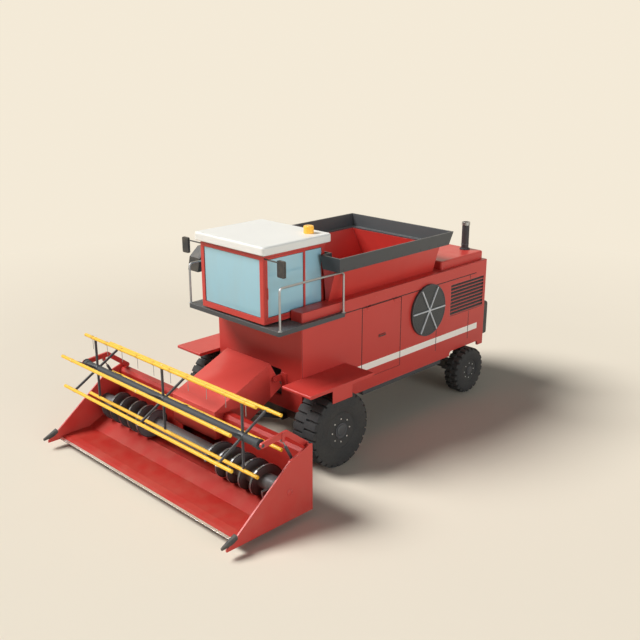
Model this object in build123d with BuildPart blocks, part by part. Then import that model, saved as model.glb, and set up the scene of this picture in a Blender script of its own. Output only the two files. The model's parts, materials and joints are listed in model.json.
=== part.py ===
"""Combine harvester with a cutting header, drum feeder, cab, open grain tank and rear-wheel steering.

Millimetres. +X is forward, +Y the driver's left, +Z up. The origin is on the ground under the middle
of the machine's length, so every X place is counted from AXLE_X, the front axle's place.
"""
from build123d import *
import os
from math import atan2, cos, degrees, hypot, pi, radians, sin

os.makedirs("parts", exist_ok=True)

# ---------------------------------------------------------------------------------------------------
# Driving sizes
# ---------------------------------------------------------------------------------------------------
LEFT, RIGHT = 1, -1
SIDES = (LEFT, RIGHT)
GAP = 6.0                      # clearance round everything that moves
PIN_PLAY = 1.0                 # radial play of a pin in its eye

# Overall
HEADER_WIDTH = 5490.0          # over the header's two end plates
HEADER_REACH = 3586.0          # front axle to the divider tips
BODY_WIDTH = 2414.0
BODY_HEIGHT = 1996.0
BODY_AHEAD = 376.0             # front axle to the body's front wall
BODY_BEHIND = 5425.0           # front axle to the body's rear wall
BODY_OVER_AXLE = 220.0         # front axle's height to the body's lower edge
BODY_WALL = 50.0
WHEELBASE = 4685.0
REAR_PANEL_DEPTH = 170.0

# Wheels
FRONT_TYRE_R = 733.0
FRONT_TYRE_WIDTH = 620.0
FRONT_TYRE_GAP = 49.0          # body side to the tyre's inner face
FRONT_RIM_R = 345.0
FRONT_SPINDLE_R = 60.0
REAR_TYRE_R = 520.0
REAR_TYRE_WIDTH = 367.0
REAR_TYRE_PROUD = 210.0        # body side to the tyre's outer face
REAR_RIM_R = 240.0
REAR_SPINDLE_R = 45.0
RIM_WALL = 14.0

# Levels and sides that the rest is built on
AXLE_X = (BODY_BEHIND + REAR_PANEL_DEPTH - HEADER_REACH) / 2
BODY_SIDE = BODY_WIDTH / 2
BODY_FRONT = AXLE_X + BODY_AHEAD
BODY_REAR = AXLE_X - BODY_BEHIND
BODY_BOTTOM = FRONT_TYRE_R + BODY_OVER_AXLE
BODY_TOP = BODY_BOTTOM + BODY_HEIGHT
REAR_AXLE_X = AXLE_X - WHEELBASE
FRONT_TYRE_OUTER = BODY_SIDE + FRONT_TYRE_GAP + FRONT_TYRE_WIDTH
REAR_TYRE_OUTER = BODY_SIDE + REAR_TYRE_PROUD
REAR_TYRE_INNER = REAR_TYRE_OUTER - REAR_TYRE_WIDTH

# Rear axle and steering
KINGPIN_Y = REAR_TYRE_INNER - 120.0
KINGPIN_R = 30.0
KNUCKLE_R = 62.0
FORK_ARM = 40.0
AXLE_BEAM_HEIGHT = 160.0
AXLE_BEAM_DEPTH = 160.0
ARCH_HALF_LENGTH = REAR_TYRE_R + 15.0
ARCH_HEIGHT = 104.0

# Frame under the body
RAIL_HEIGHT = 85.0
RAIL_WIDTH = 100.0
RAIL_FRONT = AXLE_X - 1300.0
RAIL_REAR = REAR_AXLE_X + REAR_TYRE_R + 328.0
SPINE_Y = 350.0

# Platform, cab and well
PLATFORM_FRONT = AXLE_X + 1019.0
PLATFORM_REAR = AXLE_X - 689.0
PLATFORM_SIDE = BODY_SIDE + 91.0
PLATFORM_TOP = BODY_TOP - 189.0
PLATFORM_THICK = 88.0
CAB_FRONT = AXLE_X + 997.0
CAB_REAR = AXLE_X - 568.0
CAB_SIDE = 886.0
CAB_BOTTOM = PLATFORM_TOP + 33.0
CAB_HEIGHT = 1248.0
CAB_TOP = CAB_BOTTOM + CAB_HEIGHT
CAB_WALL = 75.0
CAB_POST = 100.0
CAB_SILL = 112.0
CAB_HEAD = 66.0
CAB_FLOOR = 40.0
MID_POST_X = AXLE_X
MID_POST_WIDTH = 60.0
REAR_POST_WIDTH = 77.0
WELL_CLEAR = 30.0
GLASS_THICK = 12.0

# Cab door, which slides back along the left side
DOOR_THICK = 35.0
DOOR_FRAME = 46.0
DOOR_POCKET = DOOR_THICK + 5.0

# Roof
ROOF_FRONT = CAB_FRONT + 75.0
ROOF_REAR = CAB_REAR - 71.0
ROOF_SIDE = CAB_SIDE + 93.0
ROOF_BOTTOM = CAB_TOP + 35.0
ROOF_THICK = 159.0
ROOF_TOP = ROOF_BOTTOM + ROOF_THICK

# Grain tank
TANK_FRONT = AXLE_X - 376.0
TANK_REAR = AXLE_X - 3794.0
TANK_SIDE = BODY_SIDE + 222.0
TANK_TOP = BODY_TOP + 906.0
TANK_WALL = 25.0
TANK_RIM_HEIGHT = 280.0
TANK_RIM_FLARE = 60.0
TANK_RIM_WALL = 35.0
TANK_RIM_LIP = 25.0
TANK_RIM_BASE = TANK_TOP - TANK_RIM_HEIGHT
HOPPER_TOP_SIDE = BODY_SIDE + 33.0
HOPPER_TOP_FRONT = TANK_FRONT - 74.0
HOPPER_TOP_REAR = TANK_REAR + 189.0
TANK_FOOT_SIDE = BODY_SIDE - 207.0
TANK_FOOT_FRONT = TANK_FRONT - 142.0
TANK_FOOT_REAR = TANK_REAR + 94.0
TANK_SEAT = 30.0
TANK_FLOOR_Z = BODY_TOP - 549.0
TANK_FLOOR_HALF = 230.0
CAB_RECESS = 44.0              # room round the cab's rear end

# Handrails
RAIL_TUBE_R = 21.0
HANDRAIL_TOP = TANK_RIM_BASE - RAIL_TUBE_R - 10.0
HANDRAIL_BEND = 70.0

# Service doors
SERVICE_FRONT = AXLE_X - 1249.0
SERVICE_REAR = AXLE_X - 2435.0
SERVICE_BOTTOM = BODY_BOTTOM + 247.0
SERVICE_TOP = BODY_TOP - 261.0
SERVICE_HINGES = ((SERVICE_FRONT + SERVICE_REAR) / 2 - 400, (SERVICE_FRONT + SERVICE_REAR) / 2 + 400)
HINGE_Y = BODY_SIDE + 16.0
HINGE_Z = SERVICE_TOP - 4.0
HINGE_R = 12.0
HINGE_PIN_R = 6.0
HINGE_BARREL = 80.0            # length of a door's hinge barrel
HINGE_KNUCKLE = 30.0           # length of each body knuckle beside it
HINGE_LEAF = 10.0

# Seams between the body's side panels
SEAM_WIDTH = 8.0
SEAM_DEPTH = 5.0
SEAM_FRONT = AXLE_X - 759.0
SEAM_REAR = AXLE_X - 5031.0
PANEL_SEAMS = (AXLE_X - 3640.0, AXLE_X - 4805.0)

# Rotary screen and grilles
SCREEN_X = AXLE_X - 3300.0
SCREEN_Z = BODY_TOP - 735.0
SCREEN_R = 560.0
SCREEN_PROUD = 72.0
SCREEN_STUB_R = 25.0
SCREEN_HUB_R = 34.0
GRILLE_FRONT = AXLE_X - 4095.0
GRILLE_REAR = BODY_REAR + 88.0
GRILLE_BOTTOM = BODY_TOP - 1085.0
GRILLE_TOP = BODY_TOP - 348.0
GRILLE_SLATS = 9

# Engine hood, exhaust, engine
HOOD_FRONT = TANK_REAR - 94.0
HOOD_REAR = BODY_REAR + 25.0
HOOD_SIDE = BODY_SIDE - 107.0
HOOD_TOP = BODY_TOP + 181.0
EXHAUST_X = BODY_REAR + 214.0
EXHAUST_Y = 730.0
EXHAUST_R = 82.0
EXHAUST_TOP = HOOD_TOP + 624.0

# Unloading auger
SPOUT_Y = -(BODY_SIDE + 413.0)
UNLOAD_PIVOT_X = AXLE_X - 3600.0
UNLOAD_TUBE_R = 145.0
UNLOAD_AXIS_Z = BODY_TOP + 611.0
UNLOAD_SPLIT_Z = BODY_TOP + 331.0
UNLOAD_INLET_Z = BODY_TOP - 499.0
UNLOAD_TIP_X = AXLE_X + 230.0

# Fenders
FENDER_TOP = 2 * FRONT_TYRE_R + 224.0
FENDER_THICK = 62.0
FENDER_FRONT = AXLE_X + FRONT_TYRE_R + 152.0
FENDER_REAR = AXLE_X - FRONT_TYRE_R - 53.0
FENDER_OUTER = FRONT_TYRE_OUTER + 56.0

# Header
HEADER_BACK_X = AXLE_X + 1637.0
HEADER_BOTTOM = 124.0
HEADER_TOP = 1250.0
END_PLATE = 30.0
END_PLATE_TOP = 1334.0
PLATE_INNER = HEADER_WIDTH / 2 - END_PLATE
KNEE_X = AXLE_X + 2134.0
KNEE_Z = 1195.0
NOSE_X = AXLE_X + 3286.0
NOSE_Z = 307.0
NOSE_TIP_X = AXLE_X + 3496.0
NOSE_TIP_Z = 170.0
KNIFE_X = AXLE_X + 3221.0
LIP_X = AXLE_X + 3030.0
DECK_Z = 190.0
AUGER_X = AXLE_X + 2155.0
AUGER_Z = 640.0
AUGER_FLIGHT_R = 300.0
AUGER_TUBE_R = 145.0
AUGER_PITCH = 300.0
AUGER_TURNS = 5.0
AUGER_BARE = PLATE_INNER - AUGER_TURNS * AUGER_PITCH - 315.0    # half-length of the bare middle
FLIGHT_THICK = 40.0
SHEET = 14.0

# Feeder house, which runs from the body's front down to the header's back wall
FEEDER_TOP_X = AXLE_X + 646.0
FEEDER_TOP_Z = BODY_BOTTOM + 945.0
FEEDER_FOOT_Z = HEADER_TOP + 98.7
FEEDER_DEPTH = 600.0
FEEDER_HALF = 622.0
FEEDER_WALL = 24.0
FEEDER_PIVOT_X = AXLE_X + 556.0
FEEDER_PIVOT_Z = FEEDER_TOP_Z - 328.0
FEEDER_PIN_R = 30.0

# Reel
REEL_X = AXLE_X + 2620.0
REEL_Z = 1596.0
REEL_R = 608.0
BAT_R = 32.0
BAT_HALF = HEADER_WIDTH / 2 - 250.0
BAT_COUNT = 6
REEL_TUBE_R = 50.0
SPIDER_Y = BAT_HALF - 345.0
ARM_Y = PLATE_INNER - 95.0
ARM_THICK = 44.0
ARM_DEPTH = 96.0
ARM_PIVOT_X = AXLE_X + 1675.0
ARM_PIVOT_Z = HEADER_TOP + ARM_DEPTH / 2 + 9.0
ARM_KNEE_X = AXLE_X + 2105.0
ARM_KNEE_Z = 1640.0
STUB_R = 30.0
ARM_PIN_R = 24.0

# Lift cylinders: barrel foot and rod eye, in X and Z
LIFT_Y = 430.0
LIFT_FOOT = (AXLE_X + 210.0, FRONT_TYRE_R - 93.0)
LIFT_BARREL_R = 48.0
LIFT_ROD_R = 25.0
LIFT_FOOT_PIN_R = 25.0
LIFT_EYE_PIN_R = 22.0
REEL_LIFT_FOOT = (AXLE_X + 1985.0, 1140.0)
REEL_LIFT_EYE = (AXLE_X + 2200.0, ARM_KNEE_Z - 95.0)
REEL_BARREL_R = 27.0
REEL_ROD_R = 13.0
REEL_FOOT_PIN_R = 16.0
REEL_EYE_PIN_R = 12.0


def side_plane(y):
    """The XZ plane at y, whose sketch x runs along +X and y along +Z, and whose normal is -Y."""
    return Plane(origin=(0, y, 0), x_dir=(1, 0, 0), z_dir=(0, -1, 0))


def rear_plane(x):
    """The YZ plane at x, whose sketch x runs along +Y and y along +Z, and whose normal is +X."""
    return Plane(origin=(x, 0, 0), x_dir=(0, 1, 0), z_dir=(1, 0, 0))


def rounded_bar(start, end, depth):
    """A straight bar with round ends between two points of the current sketch."""
    middle = ((start[0] + end[0]) / 2, (start[1] + end[1]) / 2)
    run = (end[0] - start[0], end[1] - start[1])
    with Locations(Location(middle, degrees(atan2(run[1], run[0])))):
        SlotCenterToCenter(hypot(*run), depth)


# ---------------------------------------------------------------------------------------------------
# Body housing: an open-bottomed shell with a well for the cab and doorways in its sides
# ---------------------------------------------------------------------------------------------------
WELL_REAR = CAB_REAR - WELL_CLEAR
WELL_SIDE = CAB_SIDE + WELL_CLEAR
PLATFORM_BOTTOM = PLATFORM_TOP - PLATFORM_THICK
THROAT_TOP = FEEDER_TOP_Z - 178.0
THROAT_BOTTOM = THROAT_TOP - 540.0
FEEDER_GAP = 17.0
HOLE_FRONT = WELL_REAR - 45.0

with BuildPart() as body_housing:
    with BuildSketch(Plane.XY.offset(BODY_BOTTOM)):
        with Locations(((BODY_FRONT + BODY_REAR) / 2, 0)):
            Rectangle(BODY_FRONT - BODY_REAR, BODY_WIDTH)
    extrude(amount=BODY_TOP - BODY_BOTTOM)
    fillet(body_housing.edges().filter_by(Axis.Z), radius=24)
    fillet(body_housing.faces().sort_by(Axis.Z)[-1].edges(), radius=14)
    # The hollow inside, in a high rear part and a lower part under the platform
    with BuildSketch(Plane.XY.offset(BODY_BOTTOM)):
        with Locations(((PLATFORM_REAR - BODY_WALL + BODY_REAR + BODY_WALL) / 2, 0)):
            Rectangle(PLATFORM_REAR - BODY_REAR - 2 * BODY_WALL, BODY_WIDTH - 2 * BODY_WALL)
    extrude(amount=BODY_TOP - BODY_WALL - BODY_BOTTOM, mode=Mode.SUBTRACT)
    with BuildSketch(Plane.XY.offset(BODY_BOTTOM)):
        with Locations(((BODY_FRONT - BODY_WALL + PLATFORM_REAR - BODY_WALL) / 2, 0)):
            Rectangle(BODY_FRONT - PLATFORM_REAR, BODY_WIDTH - 2 * BODY_WALL)
    extrude(amount=PLATFORM_BOTTOM - BODY_WALL - BODY_BOTTOM, mode=Mode.SUBTRACT)
    # The slot that takes the platform, and the well that takes the cab
    with BuildSketch(Plane.XY.offset(PLATFORM_BOTTOM)):
        with Locations(((PLATFORM_REAR + PLATFORM_FRONT) / 2, 0)):
            Rectangle(PLATFORM_FRONT - PLATFORM_REAR, 2 * PLATFORM_SIDE)
    extrude(amount=PLATFORM_THICK, mode=Mode.SUBTRACT)
    with BuildSketch(Plane.XY.offset(PLATFORM_TOP)):
        with Locations(((WELL_REAR + PLATFORM_FRONT) / 2, 0)):
            Rectangle(PLATFORM_FRONT - WELL_REAR, 2 * WELL_SIDE)
    extrude(amount=BODY_TOP - PLATFORM_TOP, mode=Mode.SUBTRACT)
    # The throat behind the feeder
    with BuildSketch(rear_plane(BODY_FRONT - 2 * BODY_WALL)):
        with Locations((0, (THROAT_BOTTOM + THROAT_TOP) / 2)):
            Rectangle(2 * (FEEDER_HALF + FEEDER_GAP), THROAT_TOP - THROAT_BOTTOM)
    extrude(amount=3 * BODY_WALL, mode=Mode.SUBTRACT)
    # The hole in the top that the tank hangs through
    with BuildSketch(Plane.XY.offset(BODY_TOP - 2 * BODY_WALL)):
        with Locations(((TANK_FOOT_REAR + TANK_SEAT + HOLE_FRONT) / 2, 0)):
            Rectangle(HOLE_FRONT - TANK_FOOT_REAR - TANK_SEAT, 2 * (TANK_FOOT_SIDE - TANK_SEAT))
    extrude(amount=3 * BODY_WALL, mode=Mode.SUBTRACT)
    # Doorways and grille openings, right through both sides
    with BuildSketch(side_plane(BODY_WIDTH)):
        with Locations(((SERVICE_FRONT + SERVICE_REAR) / 2, (SERVICE_BOTTOM + SERVICE_TOP) / 2)):
            Rectangle(SERVICE_FRONT - SERVICE_REAR, SERVICE_TOP - SERVICE_BOTTOM)
        with Locations(((GRILLE_FRONT + GRILLE_REAR) / 2, (GRILLE_BOTTOM + GRILLE_TOP) / 2)):
            Rectangle(GRILLE_FRONT - GRILLE_REAR, GRILLE_TOP - GRILLE_BOTTOM)
        # Low arches over the steered wheels
        with Locations((REAR_AXLE_X, BODY_BOTTOM)):
            RectangleRounded(2 * ARCH_HALF_LENGTH, 2 * ARCH_HEIGHT, radius=70)
    extrude(amount=2 * BODY_WIDTH, mode=Mode.SUBTRACT)
    for side in SIDES:
        # Seams between the side panels
        with BuildSketch(side_plane(side * (BODY_SIDE - SEAM_DEPTH / 2) + SEAM_DEPTH / 2)):
            with Locations(((SEAM_FRONT + SEAM_REAR) / 2, SERVICE_TOP + SEAM_WIDTH / 2)):
                Rectangle(SEAM_FRONT - SEAM_REAR, SEAM_WIDTH)
            with Locations([(x, (SERVICE_BOTTOM + SERVICE_TOP) / 2) for x in PANEL_SEAMS]):
                Rectangle(SEAM_WIDTH, SERVICE_TOP - SERVICE_BOTTOM)
        extrude(amount=SEAM_DEPTH, mode=Mode.SUBTRACT)
        # Hinge knuckles and pins for the service door
        for hinge_x in SERVICE_HINGES:
            for end in (-1, 1):
                knuckle_x = hinge_x + end * (HINGE_BARREL + HINGE_KNUCKLE + 4) / 2
                with BuildSketch(rear_plane(knuckle_x - HINGE_KNUCKLE / 2)):
                    with Locations((side * HINGE_Y, HINGE_Z)):
                        Circle(HINGE_R)
                    with Locations((side * (BODY_SIDE + HINGE_LEAF / 2 - 1), HINGE_Z + 24)):
                        Rectangle(HINGE_LEAF + 2, 40)
                    with Locations((side * (BODY_SIDE + HINGE_LEAF / 2 + 1), HINGE_Z + 7)):
                        Rectangle(HINGE_LEAF - 2, 14)
                extrude(amount=HINGE_KNUCKLE)
            with BuildSketch(rear_plane(hinge_x - HINGE_BARREL / 2 - HINGE_KNUCKLE)):
                with Locations((side * HINGE_Y, HINGE_Z)):
                    Circle(HINGE_PIN_R)
            extrude(amount=HINGE_BARREL + 2 * HINGE_KNUCKLE)
    # Stub that the rotary screen turns on
    with BuildSketch(Plane(origin=(SCREEN_X, BODY_SIDE, SCREEN_Z), x_dir=(1, 0, 0), z_dir=(0, 1, 0))):
        Circle(SCREEN_STUB_R)
    extrude(amount=SCREEN_PROUD - 40)
body_housing.part.label = "body_housing"
export_step(body_housing.part, "parts/body_housing.step")

# ---------------------------------------------------------------------------------------------------
# Frame under the body: side rails, cross members, a rear spine and the tow clevis
# ---------------------------------------------------------------------------------------------------
CROSS_WIDTH = 120.0
HITCH_X = BODY_REAR - 70.0
HITCH_PIN_R = 16.0
CLEVIS_PLATE = 20.0
CLEVIS_GAP = 45.0
FRAME_Z = BODY_BOTTOM - RAIL_HEIGHT / 2
FRAME_CROSSES = (RAIL_FRONT - CROSS_WIDTH / 2, (RAIL_FRONT + RAIL_REAR) / 2, RAIL_REAR + CROSS_WIDTH / 2)

with BuildPart() as chassis_frame:
    for side in SIDES:
        with Locations(((RAIL_FRONT + RAIL_REAR) / 2, side * (BODY_SIDE - RAIL_WIDTH / 2), FRAME_Z)):
            Box(RAIL_FRONT - RAIL_REAR, RAIL_WIDTH, RAIL_HEIGHT)
        with Locations(((RAIL_REAR + BODY_REAR) / 2 + CROSS_WIDTH / 2, side * SPINE_Y, FRAME_Z)):
            Box(RAIL_REAR - BODY_REAR + CROSS_WIDTH, RAIL_WIDTH, RAIL_HEIGHT)
    for x in FRAME_CROSSES:
        with Locations((x, 0, FRAME_Z)):
            Box(CROSS_WIDTH, BODY_WIDTH, RAIL_HEIGHT)
    for x in (REAR_AXLE_X, BODY_REAR + CROSS_WIDTH / 2):
        with Locations((x, 0, FRAME_Z)):
            Box(CROSS_WIDTH, 2 * SPINE_Y, RAIL_HEIGHT)
    # Tow clevis: two plates with one upright pin hole
    for level in (-1, 1):
        plate_z = FRAME_Z + level * (CLEVIS_GAP + CLEVIS_PLATE) / 2
        with BuildSketch(Plane.XY.offset(plate_z - CLEVIS_PLATE / 2)):
            with Locations((HITCH_X, 0)):
                Circle(55)
            with Locations(((HITCH_X + BODY_REAR) / 2 + 10, 0)):
                Rectangle(BODY_REAR - HITCH_X + 20, 110)
            with Locations((HITCH_X, 0)):
                Circle(HITCH_PIN_R, mode=Mode.SUBTRACT)
        extrude(amount=CLEVIS_PLATE)
chassis_frame.part.label = "chassis_frame"
export_step(chassis_frame.part, "parts/chassis_frame.step")

# ---------------------------------------------------------------------------------------------------
# Front axle: beam, final drives and spindles, hung from the body's side walls by two pedestals
# ---------------------------------------------------------------------------------------------------
DRIVE_R = 215.0
DRIVE_INNER, DRIVE_OUTER = BODY_SIDE - 117.0, BODY_SIDE + 8.0
FRONT_BEAM = 240.0
FRONT_SPINDLE_END = FRONT_TYRE_OUTER - 90.0
PEDESTAL_LENGTH = 340.0

with BuildPart() as front_axle:
    with Locations((AXLE_X, 0, FRONT_TYRE_R)):
        Box(FRONT_BEAM, 2 * DRIVE_INNER, FRONT_BEAM)
    fillet(front_axle.edges().filter_by(Axis.Y), radius=30)
    with BuildSketch(side_plane(DRIVE_OUTER)):
        with Locations((AXLE_X, FRONT_TYRE_R)):
            Circle(DRIVE_R)
    extrude(amount=DRIVE_OUTER - DRIVE_INNER)
    with BuildSketch(side_plane(-DRIVE_INNER)):
        with Locations((AXLE_X, FRONT_TYRE_R)):
            Circle(DRIVE_R)
    extrude(amount=DRIVE_OUTER - DRIVE_INNER)
    with BuildSketch(side_plane(FRONT_SPINDLE_END)):
        with Locations((AXLE_X, FRONT_TYRE_R)):
            Circle(FRONT_SPINDLE_R)
    extrude(amount=2 * FRONT_SPINDLE_END)
    for side in SIDES:
        with Locations((AXLE_X, side * (BODY_SIDE - 100), (FRONT_TYRE_R + BODY_BOTTOM) / 2)):
            Box(PEDESTAL_LENGTH, 200, BODY_BOTTOM - FRONT_TYRE_R)
        # Ears for the header-lift cylinders' feet
        for inner in (-1, 1):
            with BuildSketch(side_plane(side * LIFT_Y + inner * 52 + 12)):
                with Locations(LIFT_FOOT):
                    Circle(52)
                with Locations(((LIFT_FOOT[0] + AXLE_X) / 2, LIFT_FOOT[1])):
                    Rectangle(LIFT_FOOT[0] - AXLE_X, 104)
            extrude(amount=24)
        with BuildSketch(side_plane(side * LIFT_Y + 64)):
            with Locations(LIFT_FOOT):
                Circle(LIFT_FOOT_PIN_R)
        extrude(amount=128)
front_axle.part.label = "front_axle"
export_step(front_axle.part, "parts/front_axle.step")

# ---------------------------------------------------------------------------------------------------
# Rear axle: beam with a fork and kingpin at each end, on a pedestal under the frame
# ---------------------------------------------------------------------------------------------------
FORK_REACH = KINGPIN_Y + KNUCKLE_R + 8
BEAM_END = KINGPIN_Y - KNUCKLE_R - 78

with BuildPart() as rear_axle:
    with Locations((REAR_AXLE_X, 0, REAR_TYRE_R)):
        Box(AXLE_BEAM_DEPTH, 2 * BEAM_END, AXLE_BEAM_HEIGHT)
    with Locations((REAR_AXLE_X, 0, (REAR_TYRE_R + BODY_BOTTOM - RAIL_HEIGHT) / 2)):
        Box(260, 200, BODY_BOTTOM - RAIL_HEIGHT - REAR_TYRE_R)
    for side in SIDES:
        for level in (-1, 1):
            z = REAR_TYRE_R + level * (AXLE_BEAM_HEIGHT + FORK_ARM) / 2
            with BuildSketch(Plane.XY.offset(z - FORK_ARM / 2)):
                with Locations((REAR_AXLE_X, side * KINGPIN_Y)):
                    Circle(KNUCKLE_R + 8)
                with Locations((REAR_AXLE_X, side * (KINGPIN_Y + BEAM_END - 120) / 2)):
                    Rectangle(2 * (KNUCKLE_R + 8), KINGPIN_Y - BEAM_END + 120)
            extrude(amount=FORK_ARM)
        with Locations((REAR_AXLE_X, side * KINGPIN_Y, REAR_TYRE_R)):
            Cylinder(KINGPIN_R, AXLE_BEAM_HEIGHT + FORK_ARM)
rear_axle.part.label = "rear_axle"
export_step(rear_axle.part, "parts/rear_axle.step")

# Steering knuckles: a barrel on the kingpin and a spindle out into the wheel
REAR_SPINDLE_END = REAR_TYRE_OUTER - 75.0
for name, side in (("left", LEFT), ("right", RIGHT)):
    with BuildPart() as knuckle:
        with Locations((REAR_AXLE_X, side * KINGPIN_Y, REAR_TYRE_R)):
            Cylinder(KNUCKLE_R, AXLE_BEAM_HEIGHT - 2 * GAP)
        with BuildSketch(side_plane(side * REAR_SPINDLE_END)):
            with Locations((REAR_AXLE_X, REAR_TYRE_R)):
                Circle(REAR_SPINDLE_R)
        extrude(amount=side * (REAR_SPINDLE_END - KINGPIN_Y))
        # Steering arm, swept back and in
        with BuildSketch(Plane.XY.offset(REAR_TYRE_R - 60)):
            with BuildLine():
                Polyline(
                    (REAR_AXLE_X - 20, side * (KINGPIN_Y + 40)),
                    (REAR_AXLE_X - 20, side * (KINGPIN_Y - 40)),
                    (REAR_AXLE_X - 240, side * (KINGPIN_Y - 45)),
                    (REAR_AXLE_X - 240, side * (KINGPIN_Y + 5)),
                    close=True,
                )
            make_face()
        extrude(amount=24)
        with Locations((REAR_AXLE_X, side * KINGPIN_Y, REAR_TYRE_R)):
            Cylinder(KINGPIN_R + PIN_PLAY, AXLE_BEAM_HEIGHT, mode=Mode.SUBTRACT)
    knuckle.part.label = f"{name}_knuckle"
    export_step(knuckle.part, f"parts/{name}_knuckle.step")

# ---------------------------------------------------------------------------------------------------
# Wheels: a revolved tyre and a dished rim for each corner
# ---------------------------------------------------------------------------------------------------
# corner, side, axle x, tyre radius, tyre width, outer face, rim radius,
# spindle radius, spindle end, hub disc radius
WHEELS = (
    ("front_left", LEFT, AXLE_X, FRONT_TYRE_R, FRONT_TYRE_WIDTH, FRONT_TYRE_OUTER, FRONT_RIM_R,
     FRONT_SPINDLE_R, FRONT_SPINDLE_END, 150.0),
    ("front_right", RIGHT, AXLE_X, FRONT_TYRE_R, FRONT_TYRE_WIDTH, FRONT_TYRE_OUTER, FRONT_RIM_R,
     FRONT_SPINDLE_R, FRONT_SPINDLE_END, 150.0),
    ("rear_left", LEFT, REAR_AXLE_X, REAR_TYRE_R, REAR_TYRE_WIDTH, REAR_TYRE_OUTER, REAR_RIM_R,
     REAR_SPINDLE_R, REAR_SPINDLE_END, 95.0),
    ("rear_right", RIGHT, REAR_AXLE_X, REAR_TYRE_R, REAR_TYRE_WIDTH, REAR_TYRE_OUTER, REAR_RIM_R,
     REAR_SPINDLE_R, REAR_SPINDLE_END, 95.0),
)
for corner, side, wheel_x, tyre_r, width, outer, rim_r, spindle_r, spindle_end, hub_r in WHEELS:
    axle_line = Axis((wheel_x, 0, tyre_r), (0, 1, 0))
    # Profiles are drawn in the YZ plane above the axle: y is the distance out, z the radius
    profile_plane = Plane(origin=(wheel_x, 0, tyre_r), x_dir=(0, side, 0), z_dir=(side, 0, 0))
    inner = outer - width
    shoulder = 0.10 * tyre_r
    with BuildPart() as tyre:
        with BuildSketch(profile_plane):
            with BuildLine():
                Polyline((inner + 30, rim_r), (inner, rim_r + 60), (inner, tyre_r - shoulder),
                         (inner + 0.7 * shoulder, tyre_r), (outer - 0.7 * shoulder, tyre_r),
                         (outer, tyre_r - shoulder), (outer, rim_r + 60), (outer - 30, rim_r), close=True)
            make_face()
        revolve(axis=axle_line)
    tyre.part.label = f"{corner}_tyre"
    export_step(tyre.part, f"parts/{corner}_tyre.step")

    disc = outer - 30.0
    with BuildPart() as rim:
        with BuildSketch(profile_plane):
            with BuildLine():
                Polyline(
                    (inner + 30, rim_r), (outer - 30, rim_r), (disc, rim_r - 20),
                    (disc - 10, hub_r + 10), (disc + 8, hub_r), (disc + 8, 0),
                    (spindle_end + GAP, 0), (spindle_end + GAP, spindle_r + PIN_PLAY),
                    (spindle_end - 190, spindle_r + PIN_PLAY), (spindle_end - 190, spindle_r + 40),
                    (disc - 60, spindle_r + 60), (disc - 40, rim_r - 60),
                    (disc - 60, rim_r - RIM_WALL), (inner + 30, rim_r - RIM_WALL),
                    close=True,
                )
            make_face()
        revolve(axis=axle_line)
    rim.part.label = f"{corner}_rim"
    export_step(rim.part, f"parts/{corner}_rim.step")

# ---------------------------------------------------------------------------------------------------
# Fenders: flat plates over the front wheels, each with a small outer tab
# ---------------------------------------------------------------------------------------------------
TAB_THICK = 15.0
with BuildPart() as fenders:
    for side in SIDES:
        with BuildSketch(Plane.XY.offset(FENDER_TOP - FENDER_THICK)):
            with Locations(((FENDER_FRONT + FENDER_REAR) / 2, side * (BODY_SIDE + FENDER_OUTER) / 2)):
                Rectangle(FENDER_FRONT - FENDER_REAR, FENDER_OUTER - BODY_SIDE)
        extrude(amount=FENDER_THICK)
        with Locations((AXLE_X + 55, side * (FENDER_OUTER - TAB_THICK / 2), FENDER_TOP - 0.5 * 310)):
            Box(515, TAB_THICK, 310)
    fillet(fenders.edges().filter_by(Axis.Y).group_by(Axis.X)[-1], radius=22)
fenders.part.label = "fenders"
export_step(fenders.part, "parts/fenders.step")

# ---------------------------------------------------------------------------------------------------
# Platform and handrails
# ---------------------------------------------------------------------------------------------------
MOUNT_R = 70.0
with BuildPart() as platform:
    with BuildSketch(Plane.XY.offset(PLATFORM_BOTTOM)):
        with Locations(((PLATFORM_FRONT + PLATFORM_REAR) / 2, 0)):
            RectangleRounded(PLATFORM_FRONT - PLATFORM_REAR, 2 * PLATFORM_SIDE, radius=40)
    extrude(amount=PLATFORM_THICK)
    # Rubber mounts under the cab
    for x in (CAB_REAR + 160, CAB_FRONT - 160):
        for side in SIDES:
            with Locations((x, side * (CAB_SIDE - 190), (PLATFORM_TOP + CAB_BOTTOM) / 2)):
                Cylinder(MOUNT_R, CAB_BOTTOM - PLATFORM_TOP)
platform.part.label = "platform"
export_step(platform.part, "parts/platform.step")

with BuildPart() as handrails:
    for side in SIDES:
        y = side * (PLATFORM_SIDE - RAIL_TUBE_R)
        front, rear = PLATFORM_FRONT - 2 * RAIL_TUBE_R, PLATFORM_REAR + 49
        with BuildLine() as hoop:
            FilletPolyline((rear, y, PLATFORM_TOP), (rear, y, HANDRAIL_TOP), (front, y, HANDRAIL_TOP),
                           (front, y, PLATFORM_TOP), radius=HANDRAIL_BEND)
        with BuildSketch(Plane(origin=(rear, y, PLATFORM_TOP))):
            Circle(RAIL_TUBE_R)
        sweep(path=hoop.line)
handrails.part.label = "handrails"
export_step(handrails.part, "parts/handrails.step")

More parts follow.
